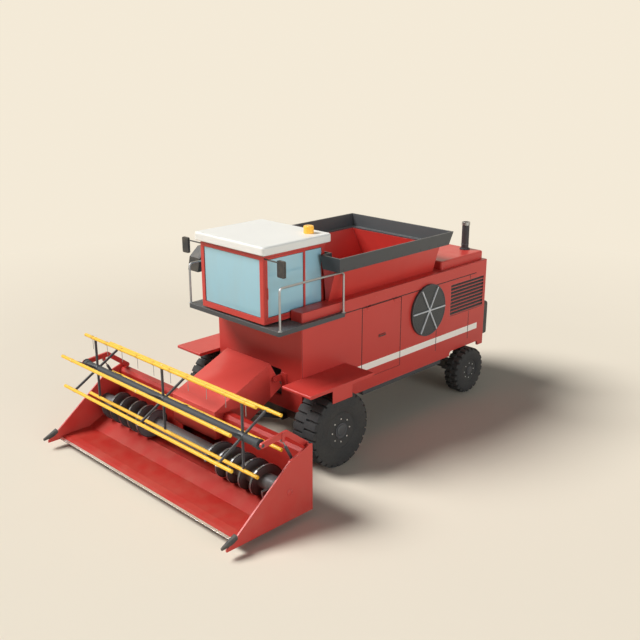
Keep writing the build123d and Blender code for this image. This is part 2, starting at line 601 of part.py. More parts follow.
# ---------------------------------------------------------------------------------------------------
# Cab: a framed box with its windows cut, glass, roof, seat and steering column
# ---------------------------------------------------------------------------------------------------
PANE_BOTTOM = CAB_BOTTOM + CAB_SILL
PANE_TOP = CAB_TOP - CAB_HEAD
PANE_Z = (PANE_BOTTOM + PANE_TOP) / 2
PANE_HEIGHT = PANE_TOP - PANE_BOTTOM
FRONT_POST_X = CAB_FRONT - CAB_POST
REAR_POST_X = CAB_REAR + REAR_POST_WIDTH
DOOR_FRONT = CAB_FRONT - CAB_POST + DOOR_FRAME
DOOR_REAR = MID_POST_X - MID_POST_WIDTH / 2
DOOR_BOTTOM = PANE_BOTTOM - DOOR_FRAME
DOOR_TOP = PANE_TOP + DOOR_FRAME - 10
POCKET_FLOOR = CAB_SIDE - DOOR_POCKET

with BuildPart() as cab_frame:
    with BuildSketch(Plane.XY.offset(CAB_BOTTOM)):
        with Locations(((CAB_FRONT + CAB_REAR) / 2, 0)):
            RectangleRounded(CAB_FRONT - CAB_REAR, 2 * CAB_SIDE, radius=18)
    extrude(amount=CAB_TOP - CAB_BOTTOM)
    with BuildSketch(Plane.XY.offset(CAB_BOTTOM + CAB_FLOOR)):
        with Locations(((CAB_FRONT + CAB_REAR) / 2, 0)):
            Rectangle(CAB_FRONT - CAB_REAR - 2 * CAB_WALL, 2 * (CAB_SIDE - CAB_WALL))
    extrude(amount=CAB_TOP - CAB_BOTTOM - 2 * CAB_FLOOR, mode=Mode.SUBTRACT)
    # Windscreen and rear window
    with BuildSketch(rear_plane(CAB_REAR - CAB_WALL)):
        with Locations((0, PANE_Z)):
            Rectangle(2 * (CAB_SIDE - CAB_POST), PANE_HEIGHT)
    extrude(amount=CAB_FRONT - CAB_REAR + 2 * CAB_WALL, mode=Mode.SUBTRACT)
    # Side windows: a long front bay, which is the doorway on the left, and a short rear bay
    for front, rear in (
        (FRONT_POST_X, MID_POST_X + MID_POST_WIDTH / 2),
        (MID_POST_X - MID_POST_WIDTH / 2, REAR_POST_X),
    ):
        with BuildSketch(side_plane(2 * CAB_SIDE)):
            with Locations(((front + rear) / 2, PANE_Z)):
                Rectangle(front - rear, PANE_HEIGHT)
        extrude(amount=4 * CAB_SIDE, mode=Mode.SUBTRACT)
    # The pocket in the left side that the door slides in
    with BuildSketch(side_plane(CAB_SIDE + 1)):
        with Locations(((DOOR_FRONT + GAP + CAB_REAR - CAB_WALL) / 2, (DOOR_BOTTOM + DOOR_TOP) / 2)):
            Rectangle(DOOR_FRONT + GAP - CAB_REAR + CAB_WALL, DOOR_TOP - DOOR_BOTTOM + 2 * GAP)
    extrude(amount=DOOR_POCKET + 1, mode=Mode.SUBTRACT)
cab_frame.part.label = "cab_frame"
export_step(cab_frame.part, "parts/cab_frame.step")

# Glass: windscreen, rear window, and the fixed side panes
SIDE_PANES = (
    # side, front x, rear x, outer face
    (RIGHT, FRONT_POST_X, MID_POST_X + MID_POST_WIDTH / 2, CAB_SIDE - 14),
    (RIGHT, MID_POST_X - MID_POST_WIDTH / 2, REAR_POST_X, CAB_SIDE - 14),
    (LEFT, MID_POST_X - MID_POST_WIDTH / 2, REAR_POST_X, POCKET_FLOOR - 8),
)
with BuildPart() as cab_glass:
    for x in (CAB_FRONT - 14 - GLASS_THICK / 2, CAB_REAR + 14 + GLASS_THICK / 2):
        with Locations((x, 0, PANE_Z)):
            Box(GLASS_THICK, 2 * (CAB_SIDE - CAB_POST), PANE_HEIGHT)
    for side, front, rear, face in SIDE_PANES:
        with Locations(((front + rear) / 2, side * (face - GLASS_THICK / 2), PANE_Z)):
            Box(front - rear, GLASS_THICK, PANE_HEIGHT)
cab_glass.part.label = "cab_glass"
export_step(cab_glass.part, "parts/cab_glass.step")

# Sliding door: a frame with a handle, and its pane
DOOR_OUTER = CAB_SIDE
DOOR_MID_X = (DOOR_FRONT + DOOR_REAR) / 2
with BuildPart() as cab_door:
    with Locations((DOOR_MID_X, DOOR_OUTER - DOOR_THICK / 2, (DOOR_BOTTOM + DOOR_TOP) / 2)):
        Box(DOOR_FRONT - DOOR_REAR, DOOR_THICK, DOOR_TOP - DOOR_BOTTOM)
    with Locations((DOOR_MID_X, DOOR_OUTER - DOOR_THICK / 2, PANE_Z)):
        Box(DOOR_FRONT - DOOR_REAR - 2 * DOOR_FRAME, 2 * DOOR_THICK, PANE_HEIGHT, mode=Mode.SUBTRACT)
    with BuildLine() as grip:
        FilletPolyline((DOOR_FRONT - DOOR_FRAME / 2, DOOR_OUTER - 2, PANE_Z - 180),
                       (DOOR_FRONT - DOOR_FRAME / 2, DOOR_OUTER + 28, PANE_Z - 180),
                       (DOOR_FRONT - DOOR_FRAME / 2, DOOR_OUTER + 28, PANE_Z + 20),
                       (DOOR_FRONT - DOOR_FRAME / 2, DOOR_OUTER - 2, PANE_Z + 20), radius=14)
    with BuildSketch(side_plane(DOOR_OUTER - 2)):
        with Locations((DOOR_FRONT - DOOR_FRAME / 2, PANE_Z - 180)):
            Circle(8)
    sweep(path=grip.line)
cab_door.part.label = "cab_door"
export_step(cab_door.part, "parts/cab_door.step")

with BuildPart() as cab_door_glass:
    with Locations((DOOR_MID_X, DOOR_OUTER - DOOR_THICK / 2, PANE_Z)):
        Box(DOOR_FRONT - DOOR_REAR - 2 * DOOR_FRAME, GLASS_THICK, PANE_HEIGHT)
cab_door_glass.part.label = "cab_door_glass"
export_step(cab_door_glass.part, "parts/cab_door_glass.step")

with BuildPart() as cab_roof:
    with BuildSketch(Plane.XY.offset(ROOF_BOTTOM)):
        with Locations(((ROOF_FRONT + ROOF_REAR) / 2, 0)):
            RectangleRounded(ROOF_FRONT - ROOF_REAR, 2 * ROOF_SIDE, radius=70)
    extrude(amount=ROOF_TOP - ROOF_BOTTOM)
    fillet(cab_roof.faces().sort_by(Axis.Z)[-1].edges(), radius=42)
    fillet(cab_roof.faces().sort_by(Axis.Z)[0].edges(), radius=16)
    with BuildSketch(Plane.XY.offset(CAB_TOP)):
        with Locations(((CAB_FRONT + CAB_REAR) / 2, 0)):
            Rectangle(CAB_FRONT - CAB_REAR - 60, 2 * CAB_SIDE - 60)
    extrude(amount=ROOF_BOTTOM - CAB_TOP + 20)
cab_roof.part.label = "cab_roof"
export_step(cab_roof.part, "parts/cab_roof.step")

BEACON_X = AXLE_X - 330.0
BEACON_Y = 670.0
BEACON_R = 96.0
BEACON_HEIGHT = 142.0
LENS_EDGE_R = 24.0
with BuildPart() as beacon:
    with BuildSketch(Plane(origin=(BEACON_X, BEACON_Y, ROOF_TOP), x_dir=(1, 0, 0), z_dir=(0, -1, 0))):
        with BuildLine():
            FilletPolyline((BEACON_R, 0), (BEACON_R, BEACON_HEIGHT), (0, BEACON_HEIGHT), radius=LENS_EDGE_R)
            Line((0, BEACON_HEIGHT), (0, 0))
            Line((0, 0), (BEACON_R, 0))
        make_face()
    revolve(axis=Axis((BEACON_X, BEACON_Y, ROOF_TOP), (0, 0, 1)))
beacon.part.label = "beacon"
export_step(beacon.part, "parts/beacon.step")

SEAT_X = AXLE_X + 60.0
FLOOR_Z = CAB_BOTTOM + CAB_FLOOR
with BuildPart() as operator_seat:
    with Locations((SEAT_X, 0, FLOOR_Z + 130)):
        Box(260, 260, 260)
    with Locations((SEAT_X + 20, 0, FLOOR_Z + 320)):
        Box(480, 500, 120)
    with Locations((SEAT_X - 200, 0, FLOOR_Z + 620)):
        Box(110, 470, 560)
    fillet(operator_seat.edges().filter_by(Axis.Y).group_by(Axis.Z)[-1], radius=40)
    for side in SIDES:
        with Locations((SEAT_X, side * 290, FLOOR_Z + 500)):
            Box(330, 60, 50)
        with Locations((SEAT_X - 130, side * 255, FLOOR_Z + 460)):
            Box(60, 60, 130)
operator_seat.part.label = "operator_seat"
export_step(operator_seat.part, "parts/operator_seat.step")

COLUMN_X = AXLE_X + 760.0
WHEEL_R = 190.0
WHEEL_LEAN = 28.0
COLUMN_LENGTH = 560.0
COLUMN_FOOT = 180.0
lean = radians(WHEEL_LEAN)
column_end = (COLUMN_X - COLUMN_LENGTH * sin(lean), 0, FLOOR_Z + COLUMN_FOOT - 40 + COLUMN_LENGTH * cos(lean))
column_top = Plane(origin=column_end, x_dir=(cos(lean), 0, sin(lean)), z_dir=(-sin(lean), 0, cos(lean)))
with BuildPart() as steering_column:
    with Locations((COLUMN_X, 0, FLOOR_Z + 15)):
        Box(220, 260, 30)
    with BuildSketch(column_top):
        Circle(34)
    extrude(amount=-COLUMN_LENGTH)
    with BuildSketch(column_top):
        Circle(58)
        Circle(WHEEL_R)
        Circle(WHEEL_R - 26, mode=Mode.SUBTRACT)
        for angle in (90, 210, 330):
            with Locations(Rotation(0, 0, angle) * Location((WHEEL_R / 2, 0))):
                Rectangle(WHEEL_R, 30)
    extrude(amount=24)
    with Locations((COLUMN_X, 0, FLOOR_Z + COLUMN_FOOT / 2)):
        Box(120, 160, COLUMN_FOOT)
steering_column.part.label = "steering_column"
export_step(steering_column.part, "parts/steering_column.step")

# Mirrors on bent arms at the cab's front corners
MIRROR_X = AXLE_X + 982.0
MIRROR_Y = 1342.0
MIRROR_Z = 3902.0
with BuildPart() as mirrors:
    for side in SIDES:
        with BuildLine() as bracket:
            FilletPolyline(
                (CAB_FRONT - 28, side * CAB_SIDE, CAB_TOP - 36),
                (MIRROR_X, side * MIRROR_Y, CAB_TOP - 36),
                (MIRROR_X, side * MIRROR_Y, MIRROR_Z),
                radius=50,
            )
        with BuildSketch(side_plane(side * CAB_SIDE)):
            with Locations((CAB_FRONT - 28, CAB_TOP - 36)):
                Circle(13)
        sweep(path=bracket.line)
        with BuildSketch(rear_plane(MIRROR_X - 24)):
            with Locations((side * MIRROR_Y, MIRROR_Z)):
                RectangleRounded(180, 300, radius=28)
        extrude(amount=48)
mirrors.part.label = "mirrors"
export_step(mirrors.part, "parts/mirrors.step")

# ---------------------------------------------------------------------------------------------------
# Grain tank: a hopper through the body's top with a flared rim, wrapped round the cab's rear end
# ---------------------------------------------------------------------------------------------------
RECESS_REAR = CAB_REAR - CAB_RECESS
RECESS_SIDE = CAB_SIDE + CAB_RECESS


def frustum(low_z, low, high_z, high):
    """Solid with flat sides between two plan rectangles, each given as (front, rear, half width)."""
    with BuildPart(mode=Mode.PRIVATE) as solid:
        with BuildSketch(side_plane(BODY_WIDTH)):
            with BuildLine():
                Polyline((low[0], low_z), (high[0], high_z), (high[1], high_z), (low[1], low_z), close=True)
            make_face()
        extrude(amount=2 * BODY_WIDTH)
        with BuildSketch(rear_plane(BODY_REAR)):
            with BuildLine():
                Polyline((low[2], low_z), (high[2], high_z), (-high[2], high_z), (-low[2], low_z), close=True)
            make_face()
        extrude(amount=BODY_FRONT - BODY_REAR, mode=Mode.INTERSECT)
    return solid.part


def recess_block(low_z, high_z, grow):
    """Solid round the cab's rear end that the tank keeps out of, grown by one wall or more."""
    with BuildPart(mode=Mode.PRIVATE) as solid:
        with Locations(((RECESS_REAR + CAB_FRONT) / 2 - grow, 0, (low_z + high_z) / 2)):
            Box(CAB_FRONT - RECESS_REAR, 2 * (RECESS_SIDE + grow), high_z - low_z)
    return solid.part


with BuildPart() as grain_tank:
    for inset, foot_inset, mode in (
        (0, 0, Mode.ADD),
        (TANK_WALL, TANK_SEAT + GAP + TANK_WALL, Mode.SUBTRACT),
    ):
        # The hopper above the body, with a foot that seats round the hole in the body's top
        foot = (TANK_FOOT_FRONT - foot_inset, TANK_FOOT_REAR + foot_inset, TANK_FOOT_SIDE - foot_inset)
        mouth = (HOPPER_TOP_FRONT - inset, HOPPER_TOP_REAR + inset, HOPPER_TOP_SIDE - inset)
        recess = recess_block(BODY_TOP, TANK_RIM_BASE, inset)
        upper_hopper = frustum(BODY_TOP, foot, TANK_RIM_BASE, mouth) - recess
        # The lower hopper that hangs through the hole
        floor = (HOLE_FRONT - 620 - inset, TANK_FOOT_REAR + 480 + inset, TANK_FLOOR_HALF - inset)
        hung_rear = TANK_FOOT_REAR + TANK_SEAT + GAP + inset
        hung = (HOLE_FRONT - GAP - inset, hung_rear, TANK_FOOT_SIDE - TANK_SEAT - GAP - inset)
        lower_hopper = frustum(TANK_FLOOR_Z + inset, floor, BODY_TOP, hung)
        add(upper_hopper, mode=mode)
        add(lower_hopper, mode=mode)
grain_tank.part.label = "grain_tank"
export_step(grain_tank.part, "parts/grain_tank.step")

# Rim: flared plates round the top, with a flat lip back to the hopper's edge
with BuildPart() as tank_rim:
    for inset, lip, mode in ((0, 0, Mode.ADD), (TANK_RIM_WALL, TANK_RIM_LIP, Mode.SUBTRACT)):
        taper = TANK_RIM_FLARE + inset
        base = (TANK_FRONT - taper, TANK_REAR + taper, TANK_SIDE - taper)
        top = (TANK_FRONT - inset, TANK_REAR + inset, TANK_SIDE - inset)
        flare = frustum(TANK_RIM_BASE + lip, base, TANK_TOP, top)
        add(flare - recess_block(TANK_RIM_BASE, TANK_TOP, inset), mode=mode)
    mouth = (HOPPER_TOP_FRONT - TANK_WALL, HOPPER_TOP_REAR + TANK_WALL, HOPPER_TOP_SIDE - TANK_WALL)
    way_down = frustum(TANK_RIM_BASE, mouth, TANK_RIM_BASE + TANK_RIM_LIP, mouth)
    add(way_down - recess_block(TANK_RIM_BASE, TANK_TOP, TANK_WALL), mode=Mode.SUBTRACT)
tank_rim.part.label = "tank_rim"
export_step(tank_rim.part, "parts/tank_rim.step")

# Unloading cross auger along the tank's floor, under a roof-shaped cover
TROUGH_FRONT = HOLE_FRONT - 700
TROUGH_REAR = TANK_FOOT_REAR + 540
COVER_Z = TANK_FLOOR_Z + TANK_WALL + 90
with BuildPart() as tank_auger:
    with BuildSketch(rear_plane(TROUGH_REAR)):
        with Locations((0, COVER_Z)):
            Circle(45)
    extrude(amount=TROUGH_FRONT - TROUGH_REAR)
    turns = int((TROUGH_FRONT - TROUGH_REAR) / 220)
    for index in range(turns):
        with BuildSketch(rear_plane(TROUGH_REAR + 110 + index * 220)):
            with Locations((0, COVER_Z)):
                Circle(85)
        extrude(amount=12)
    for x in (TROUGH_REAR, TROUGH_FRONT - 30):
        with Locations((x + 15, 0, TANK_FLOOR_Z + TANK_WALL + 45)):
            Box(30, 120, 90)
tank_auger.part.label = "tank_auger"
export_step(tank_auger.part, "parts/tank_auger.step")

# ---------------------------------------------------------------------------------------------------
# Engine hood, exhaust, engine and the threshing housing inside
# ---------------------------------------------------------------------------------------------------
HOOD_WALL = 24.0
with BuildPart() as engine_hood:
    with BuildSketch(Plane.XY.offset(BODY_TOP)):
        with Locations(((HOOD_FRONT + HOOD_REAR) / 2, 0)):
            RectangleRounded(HOOD_FRONT - HOOD_REAR, 2 * HOOD_SIDE, radius=60)
    extrude(amount=HOOD_TOP - BODY_TOP)
    fillet(engine_hood.faces().sort_by(Axis.Z)[-1].edges(), radius=36)
    with BuildSketch(Plane.XY.offset(BODY_TOP)):
        with Locations(((HOOD_FRONT + HOOD_REAR) / 2, 0)):
            Rectangle(HOOD_FRONT - HOOD_REAR - 2 * HOOD_WALL, 2 * HOOD_SIDE - 2 * HOOD_WALL)
    extrude(amount=HOOD_TOP - BODY_TOP - HOOD_WALL, mode=Mode.SUBTRACT)
engine_hood.part.label = "engine_hood"
export_step(engine_hood.part, "parts/engine_hood.step")

with BuildPart() as exhaust:
    with BuildSketch(Plane(origin=(EXHAUST_X, EXHAUST_Y, 0), x_dir=(1, 0, 0), z_dir=(0, -1, 0))):
        with BuildLine():
            Polyline(
                (0, HOOD_TOP), (EXHAUST_R + 34, HOOD_TOP), (EXHAUST_R + 34, HOOD_TOP + 22),
                (EXHAUST_R, HOOD_TOP + 22), (EXHAUST_R, EXHAUST_TOP - 70), (EXHAUST_R + 10, EXHAUST_TOP - 70),
                (EXHAUST_R + 10, EXHAUST_TOP), (EXHAUST_R - 12, EXHAUST_TOP),
                (EXHAUST_R - 12, EXHAUST_TOP - 160), (0, EXHAUST_TOP - 160),
                close=True,
            )
        make_face()
    revolve(axis=Axis((EXHAUST_X, EXHAUST_Y, 0), (0, 0, 1)))
exhaust.part.label = "exhaust"
export_step(exhaust.part, "parts/exhaust.step")

THRESH_SIDE = 750.0
THRESH_TOP = TANK_FLOOR_Z - 150.0
THRESH_FRONT = AXLE_X + 250.0
THRESH_REAR = BODY_REAR + BODY_WALL
with BuildPart() as threshing_housing:
    with BuildSketch(side_plane(THRESH_SIDE)):
        with BuildLine():
            Polyline(
                (THRESH_FRONT, BODY_BOTTOM + 247), (THRESH_FRONT, THRESH_TOP - 450),
                (AXLE_X - 100, THRESH_TOP), (THRESH_REAR, THRESH_TOP),
                (THRESH_REAR, BODY_BOTTOM + 547), (RAIL_REAR - 300, BODY_BOTTOM + 227),
                (RAIL_REAR, BODY_BOTTOM), (RAIL_FRONT, BODY_BOTTOM), (AXLE_X - 260, BODY_BOTTOM + 47),
                close=True,
            )
        make_face()
        # The grain pan and walkers show from the throat: a mouth at the front
        with Locations((THRESH_FRONT, (THROAT_BOTTOM + THROAT_TOP) / 2)):
            Rectangle(360, 360, mode=Mode.SUBTRACT)
    extrude(amount=2 * THRESH_SIDE)
threshing_housing.part.label = "threshing_housing"
export_step(threshing_housing.part, "parts/threshing_housing.step")

with BuildPart() as engine:
    with Locations((AXLE_X - 4700, 0, (THRESH_TOP + BODY_TOP - 80) / 2)):
        Box(1000, 1150, BODY_TOP - 80 - THRESH_TOP)
    fillet(engine.edges(), radius=40)
engine.part.label = "engine"
export_step(engine.part, "parts/engine.step")

REAR_PANEL_BOTTOM, REAR_PANEL_TOP = BODY_BOTTOM + 197.0, BODY_BOTTOM + 977.0
with BuildPart() as rear_panel:
    with BuildSketch(rear_plane(BODY_REAR)):
        with Locations((0, (REAR_PANEL_BOTTOM + REAR_PANEL_TOP) / 2)):
            RectangleRounded(BODY_WIDTH - 30, REAR_PANEL_TOP - REAR_PANEL_BOTTOM, radius=60)
    extrude(amount=-REAR_PANEL_DEPTH)
    fillet(rear_panel.faces().sort_by(Axis.X)[0].edges(), radius=50)
rear_panel.part.label = "rear_panel"
export_step(rear_panel.part, "parts/rear_panel.step")

# Louvred grilles in both sides
GRILLE_FRAME = 16.0
GRILLE_DEPTH = 40.0
with BuildPart() as side_grilles:
    for side in SIDES:
        with BuildSketch(side_plane(side * (BODY_SIDE - GRILLE_DEPTH / 2) + GRILLE_DEPTH / 2)):
            with Locations(((GRILLE_FRONT + GRILLE_REAR) / 2, (GRILLE_BOTTOM + GRILLE_TOP) / 2)):
                width, height = GRILLE_FRONT - GRILLE_REAR, GRILLE_TOP - GRILLE_BOTTOM
                Rectangle(width, height)
                Rectangle(width - 2 * GRILLE_FRAME, height - 2 * GRILLE_FRAME, mode=Mode.SUBTRACT)
        extrude(amount=GRILLE_DEPTH)
        pitch = (GRILLE_TOP - GRILLE_BOTTOM - 2 * GRILLE_FRAME) / GRILLE_SLATS
        for index in range(GRILLE_SLATS):
            z = GRILLE_BOTTOM + GRILLE_FRAME + (index + 0.5) * pitch
            with BuildSketch(rear_plane(GRILLE_REAR + GRILLE_FRAME / 2)):
                with BuildLine():
                    Polyline(
                        (side * (BODY_SIDE - GRILLE_DEPTH + 2), z + 0.10 * pitch),
                        (side * (BODY_SIDE - 4), z - 0.42 * pitch),
                        (side * (BODY_SIDE - 4), z - 0.18 * pitch),
                        (side * (BODY_SIDE - GRILLE_DEPTH + 2), z + 0.34 * pitch),
                        close=True,
                    )
                make_face()
            extrude(amount=GRILLE_FRONT - GRILLE_REAR - GRILLE_FRAME)
side_grilles.part.label = "side_grilles"
export_step(side_grilles.part, "parts/side_grilles.step")

# Ladder at the platform's rear end, on the right
LADDER_FRONT = FENDER_REAR - 20.0
LADDER_LENGTH = 420.0
LADDER_Y = -(BODY_SIDE + 70)
LADDER_BOTTOM = BODY_BOTTOM - 393.0
RUNGS = 7
with BuildPart() as ladder:
    for x in (LADDER_FRONT - 15, LADDER_FRONT - LADDER_LENGTH + 15):
        with Locations((x, LADDER_Y, (LADDER_BOTTOM + PLATFORM_TOP) / 2)):
            Box(30, 60, PLATFORM_TOP - LADDER_BOTTOM)
        for z in (BODY_BOTTOM + 167, PLATFORM_TOP - 200):
            with Locations((x, -(BODY_SIDE + 20), z)):
                Box(30, 40, 60)
    for index in range(RUNGS):
        z = LADDER_BOTTOM + 60 + index * (PLATFORM_TOP - LADDER_BOTTOM - 160) / (RUNGS - 1)
        with Locations((LADDER_FRONT - LADDER_LENGTH / 2, LADDER_Y, z)):
            Box(LADDER_LENGTH - 30, 60, 26)
ladder.part.label = "ladder"
export_step(ladder.part, "parts/ladder.step")

# ---------------------------------------------------------------------------------------------------
# Service doors: gull-wing panels with the hinge line above
# ---------------------------------------------------------------------------------------------------
SERVICE_GAP = 8.0
for name, side in (("left", LEFT), ("right", RIGHT)):
    door_y = side * (BODY_SIDE - BODY_WALL / 2)
    with BuildPart() as service_door:
        door_x, door_z = (SERVICE_FRONT + SERVICE_REAR) / 2, (SERVICE_BOTTOM + SERVICE_TOP) / 2
        width, height = SERVICE_FRONT - SERVICE_REAR, SERVICE_TOP - SERVICE_BOTTOM
        with Locations((door_x, door_y, door_z)):
            Box(width - 2 * SERVICE_GAP, BODY_WALL, height - 2 * SERVICE_GAP)
        with Locations((door_x, door_y - side * 16, door_z)):
            Box(width - 140, BODY_WALL, height - 140, mode=Mode.SUBTRACT)
        # Pressed handle
        with Locations(((SERVICE_FRONT + SERVICE_REAR) / 2 - 8, side * (BODY_SIDE + 11), SERVICE_TOP - 675)):
            Box(183, 22, 34)
        # Hinge barrels on straps down the panel
        for hinge_x in SERVICE_HINGES:
            with BuildSketch(rear_plane(hinge_x - HINGE_BARREL / 2)):
                with Locations((side * HINGE_Y, HINGE_Z)):
                    Circle(HINGE_R)
                with Locations((side * (BODY_SIDE + HINGE_LEAF / 2 - 1), HINGE_Z - 40)):
                    Rectangle(HINGE_LEAF + 2, 60)
                with Locations((side * (BODY_SIDE + HINGE_LEAF / 2 + 1), HINGE_Z - 6)):
                    Rectangle(HINGE_LEAF - 2, 12)
                with Locations((side * HINGE_Y, HINGE_Z)):
                    Circle(HINGE_PIN_R + PIN_PLAY, mode=Mode.SUBTRACT)
            extrude(amount=HINGE_BARREL)
    service_door.part.label = f"{name}_service_door"
    export_step(service_door.part, f"parts/{name}_service_door.step")

# ---------------------------------------------------------------------------------------------------
# Rotary screen: a flat dish with six ribs, turning on a stub fixed to the left side
# ---------------------------------------------------------------------------------------------------
with BuildPart() as rotary_screen:
    screen_plane = Plane(origin=(SCREEN_X, BODY_SIDE, SCREEN_Z), x_dir=(1, 0, 0), z_dir=(0, 1, 0))
    with BuildSketch(screen_plane.offset(GAP)):
        Circle(SCREEN_R)
    extrude(amount=SCREEN_PROUD - 22 - GAP)
    with BuildSketch(screen_plane.offset(GAP)):
        Circle(SCREEN_R - 20)
    extrude(amount=SCREEN_PROUD - 22 - 10 - GAP, mode=Mode.SUBTRACT)
    with BuildSketch(screen_plane.offset(GAP)):
        Circle(60)
        Circle(SCREEN_STUB_R + PIN_PLAY, mode=Mode.SUBTRACT)
    extrude(amount=SCREEN_PROUD - 32 - GAP)
    with BuildSketch(screen_plane.offset(SCREEN_PROUD - 22)):
        for angle in (0, 60, 120):
            with Locations(Rotation(0, 0, angle)):
                Rectangle(2 * SCREEN_R - 60, 30)
        Circle(SCREEN_HUB_R)
    extrude(amount=22)
rotary_screen.part.label = "rotary_screen"
export_step(rotary_screen.part, "parts/rotary_screen.step")

# ---------------------------------------------------------------------------------------------------
# Unloading auger: a fixed elbow out of the right side, a swinging tube and its spout
# ---------------------------------------------------------------------------------------------------
FLANGE_R = 190.0
ELBOW_BEND = 230.0
inlet_plane = Plane(origin=(UNLOAD_PIVOT_X, -BODY_SIDE, UNLOAD_INLET_Z), x_dir=(1, 0, 0), z_dir=(0, -1, 0))
with BuildPart() as unloading_elbow:
    with BuildLine() as riser:
        FilletPolyline(
            (UNLOAD_PIVOT_X, -BODY_SIDE, UNLOAD_INLET_Z),
            (UNLOAD_PIVOT_X, SPOUT_Y, UNLOAD_INLET_Z),
            (UNLOAD_PIVOT_X, SPOUT_Y, UNLOAD_SPLIT_Z),
            radius=ELBOW_BEND,
        )
    with BuildSketch(inlet_plane):
        Circle(UNLOAD_TUBE_R)
    sweep(path=riser.line)
    with BuildSketch(Plane(origin=(UNLOAD_PIVOT_X, SPOUT_Y, UNLOAD_SPLIT_Z - 26))):
        Circle(FLANGE_R)
    extrude(amount=26)
    with BuildSketch(inlet_plane):
        Circle(FLANGE_R)
    extrude(amount=20)
unloading_elbow.part.label = "unloading_elbow"
export_step(unloading_elbow.part, "parts/unloading_elbow.step")

with BuildPart() as unloading_auger:
    with BuildLine() as boom:
        FilletPolyline(
            (UNLOAD_PIVOT_X, SPOUT_Y, UNLOAD_SPLIT_Z + GAP),
            (UNLOAD_PIVOT_X, SPOUT_Y, UNLOAD_AXIS_Z),
            (UNLOAD_TIP_X, SPOUT_Y, UNLOAD_AXIS_Z),
            radius=ELBOW_BEND - 60,
        )
    with BuildSketch(Plane(origin=(UNLOAD_PIVOT_X, SPOUT_Y, UNLOAD_SPLIT_Z + GAP))):
        Circle(UNLOAD_TUBE_R)
    sweep(path=boom.line)
    with BuildSketch(Plane(origin=(UNLOAD_PIVOT_X, SPOUT_Y, UNLOAD_SPLIT_Z + GAP))):
        Circle(FLANGE_R)
    extrude(amount=26)
unloading_auger.part.label = "unloading_auger"
export_step(unloading_auger.part, "parts/unloading_auger.step")

SPOUT_WALL = 12.0
SPOUT_MOUTH_Z = UNLOAD_AXIS_Z - 290.0
with BuildPart() as unloading_spout:
    for grow, mode in ((SPOUT_WALL, Mode.ADD), (0, Mode.SUBTRACT)):
        with BuildSketch(side_plane(SPOUT_Y + UNLOAD_TUBE_R + grow)):
            with BuildLine():
                Polyline(
                    (UNLOAD_TIP_X, UNLOAD_AXIS_Z - UNLOAD_TUBE_R - grow),
                    (UNLOAD_TIP_X, UNLOAD_AXIS_Z + UNLOAD_TUBE_R + grow),
                    (UNLOAD_TIP_X + 150, UNLOAD_AXIS_Z + UNLOAD_TUBE_R + grow),
                    (UNLOAD_TIP_X + 350 + grow, UNLOAD_AXIS_Z - 30 + grow / 2),
                    (UNLOAD_TIP_X + 400 + grow, SPOUT_MOUTH_Z + grow - SPOUT_WALL),
                    (UNLOAD_TIP_X + 100 - grow, SPOUT_MOUTH_Z + grow - SPOUT_WALL),
                    close=True,
                )
            make_face()
        extrude(amount=2 * (UNLOAD_TUBE_R + grow), mode=mode)
unloading_spout.part.label = "unloading_spout"
export_step(unloading_spout.part, "parts/unloading_spout.step")

# ---------------------------------------------------------------------------------------------------
# Feeder house: a sloping duct from the header's back wall up to the throat, hung on two pins
# ---------------------------------------------------------------------------------------------------
slope = atan2(FEEDER_TOP_Z - FEEDER_FOOT_Z, HEADER_BACK_X - FEEDER_TOP_X)
ALONG = (cos(slope), -sin(slope))
DOWN = (-sin(slope), -cos(slope))


def feeder_point(run, depth):
    """X and Z of a point run millimetres down the feeder's slope and depth millimetres under its top."""
    return (FEEDER_TOP_X + run * ALONG[0] + depth * DOWN[0], FEEDER_TOP_Z + run * ALONG[1] + depth * DOWN[1])


def feeder_at(x, depth):
    """X and Z of the point at x on the line depth millimetres under the feeder's top."""
    run = (x - FEEDER_TOP_X - depth * DOWN[0]) / ALONG[0]
    return feeder_point(run, depth)


LIFT_EYE = (AXLE_X + 1000.0, feeder_at(AXLE_X + 1000.0, FEEDER_DEPTH)[1] - 66.0)
with BuildPart() as feeder_house:
    for inset, rear, front, mode in ((0, 0, 0, Mode.ADD), (FEEDER_WALL, -200, 200, Mode.SUBTRACT)):
        with BuildSketch(side_plane(FEEDER_HALF - inset)):
            with BuildLine():
                Polyline(
                    feeder_point(rear, inset),
                    feeder_at(HEADER_BACK_X + front, inset),
                    feeder_at(HEADER_BACK_X + front, FEEDER_DEPTH - inset),
                    feeder_point(rear, FEEDER_DEPTH - inset),
                    close=True,
                )
            make_face()
        extrude(amount=2 * (FEEDER_HALF - inset), mode=mode)
    # Pins into the ears on the body's front
    for side in SIDES:
        with BuildSketch(side_plane(side * (FEEDER_HALF + 27) + 27)):
            with Locations((FEEDER_PIVOT_X, FEEDER_PIVOT_Z)):
                Circle(FEEDER_PIN_R)
        extrude(amount=54)
        # Lugs for the lift cylinders' eyes
        lug = feeder_at(LIFT_EYE[0], FEEDER_DEPTH)
        for inner in (-1, 1):
            with BuildSketch(side_plane(side * LIFT_Y + inner * 52 + 12)):
                with Locations(LIFT_EYE):
                    Circle(44)
                with Locations((LIFT_EYE[0], (LIFT_EYE[1] + lug[1] + 12) / 2)):
                    Rectangle(88, lug[1] - LIFT_EYE[1] + 12)
            extrude(amount=24)
        with BuildSketch(side_plane(side * LIFT_Y + 64)):
            with Locations(LIFT_EYE):
                Circle(LIFT_EYE_PIN_R)
        extrude(amount=128)
feeder_house.part.label = "feeder_house"
export_step(feeder_house.part, "parts/feeder_house.step")

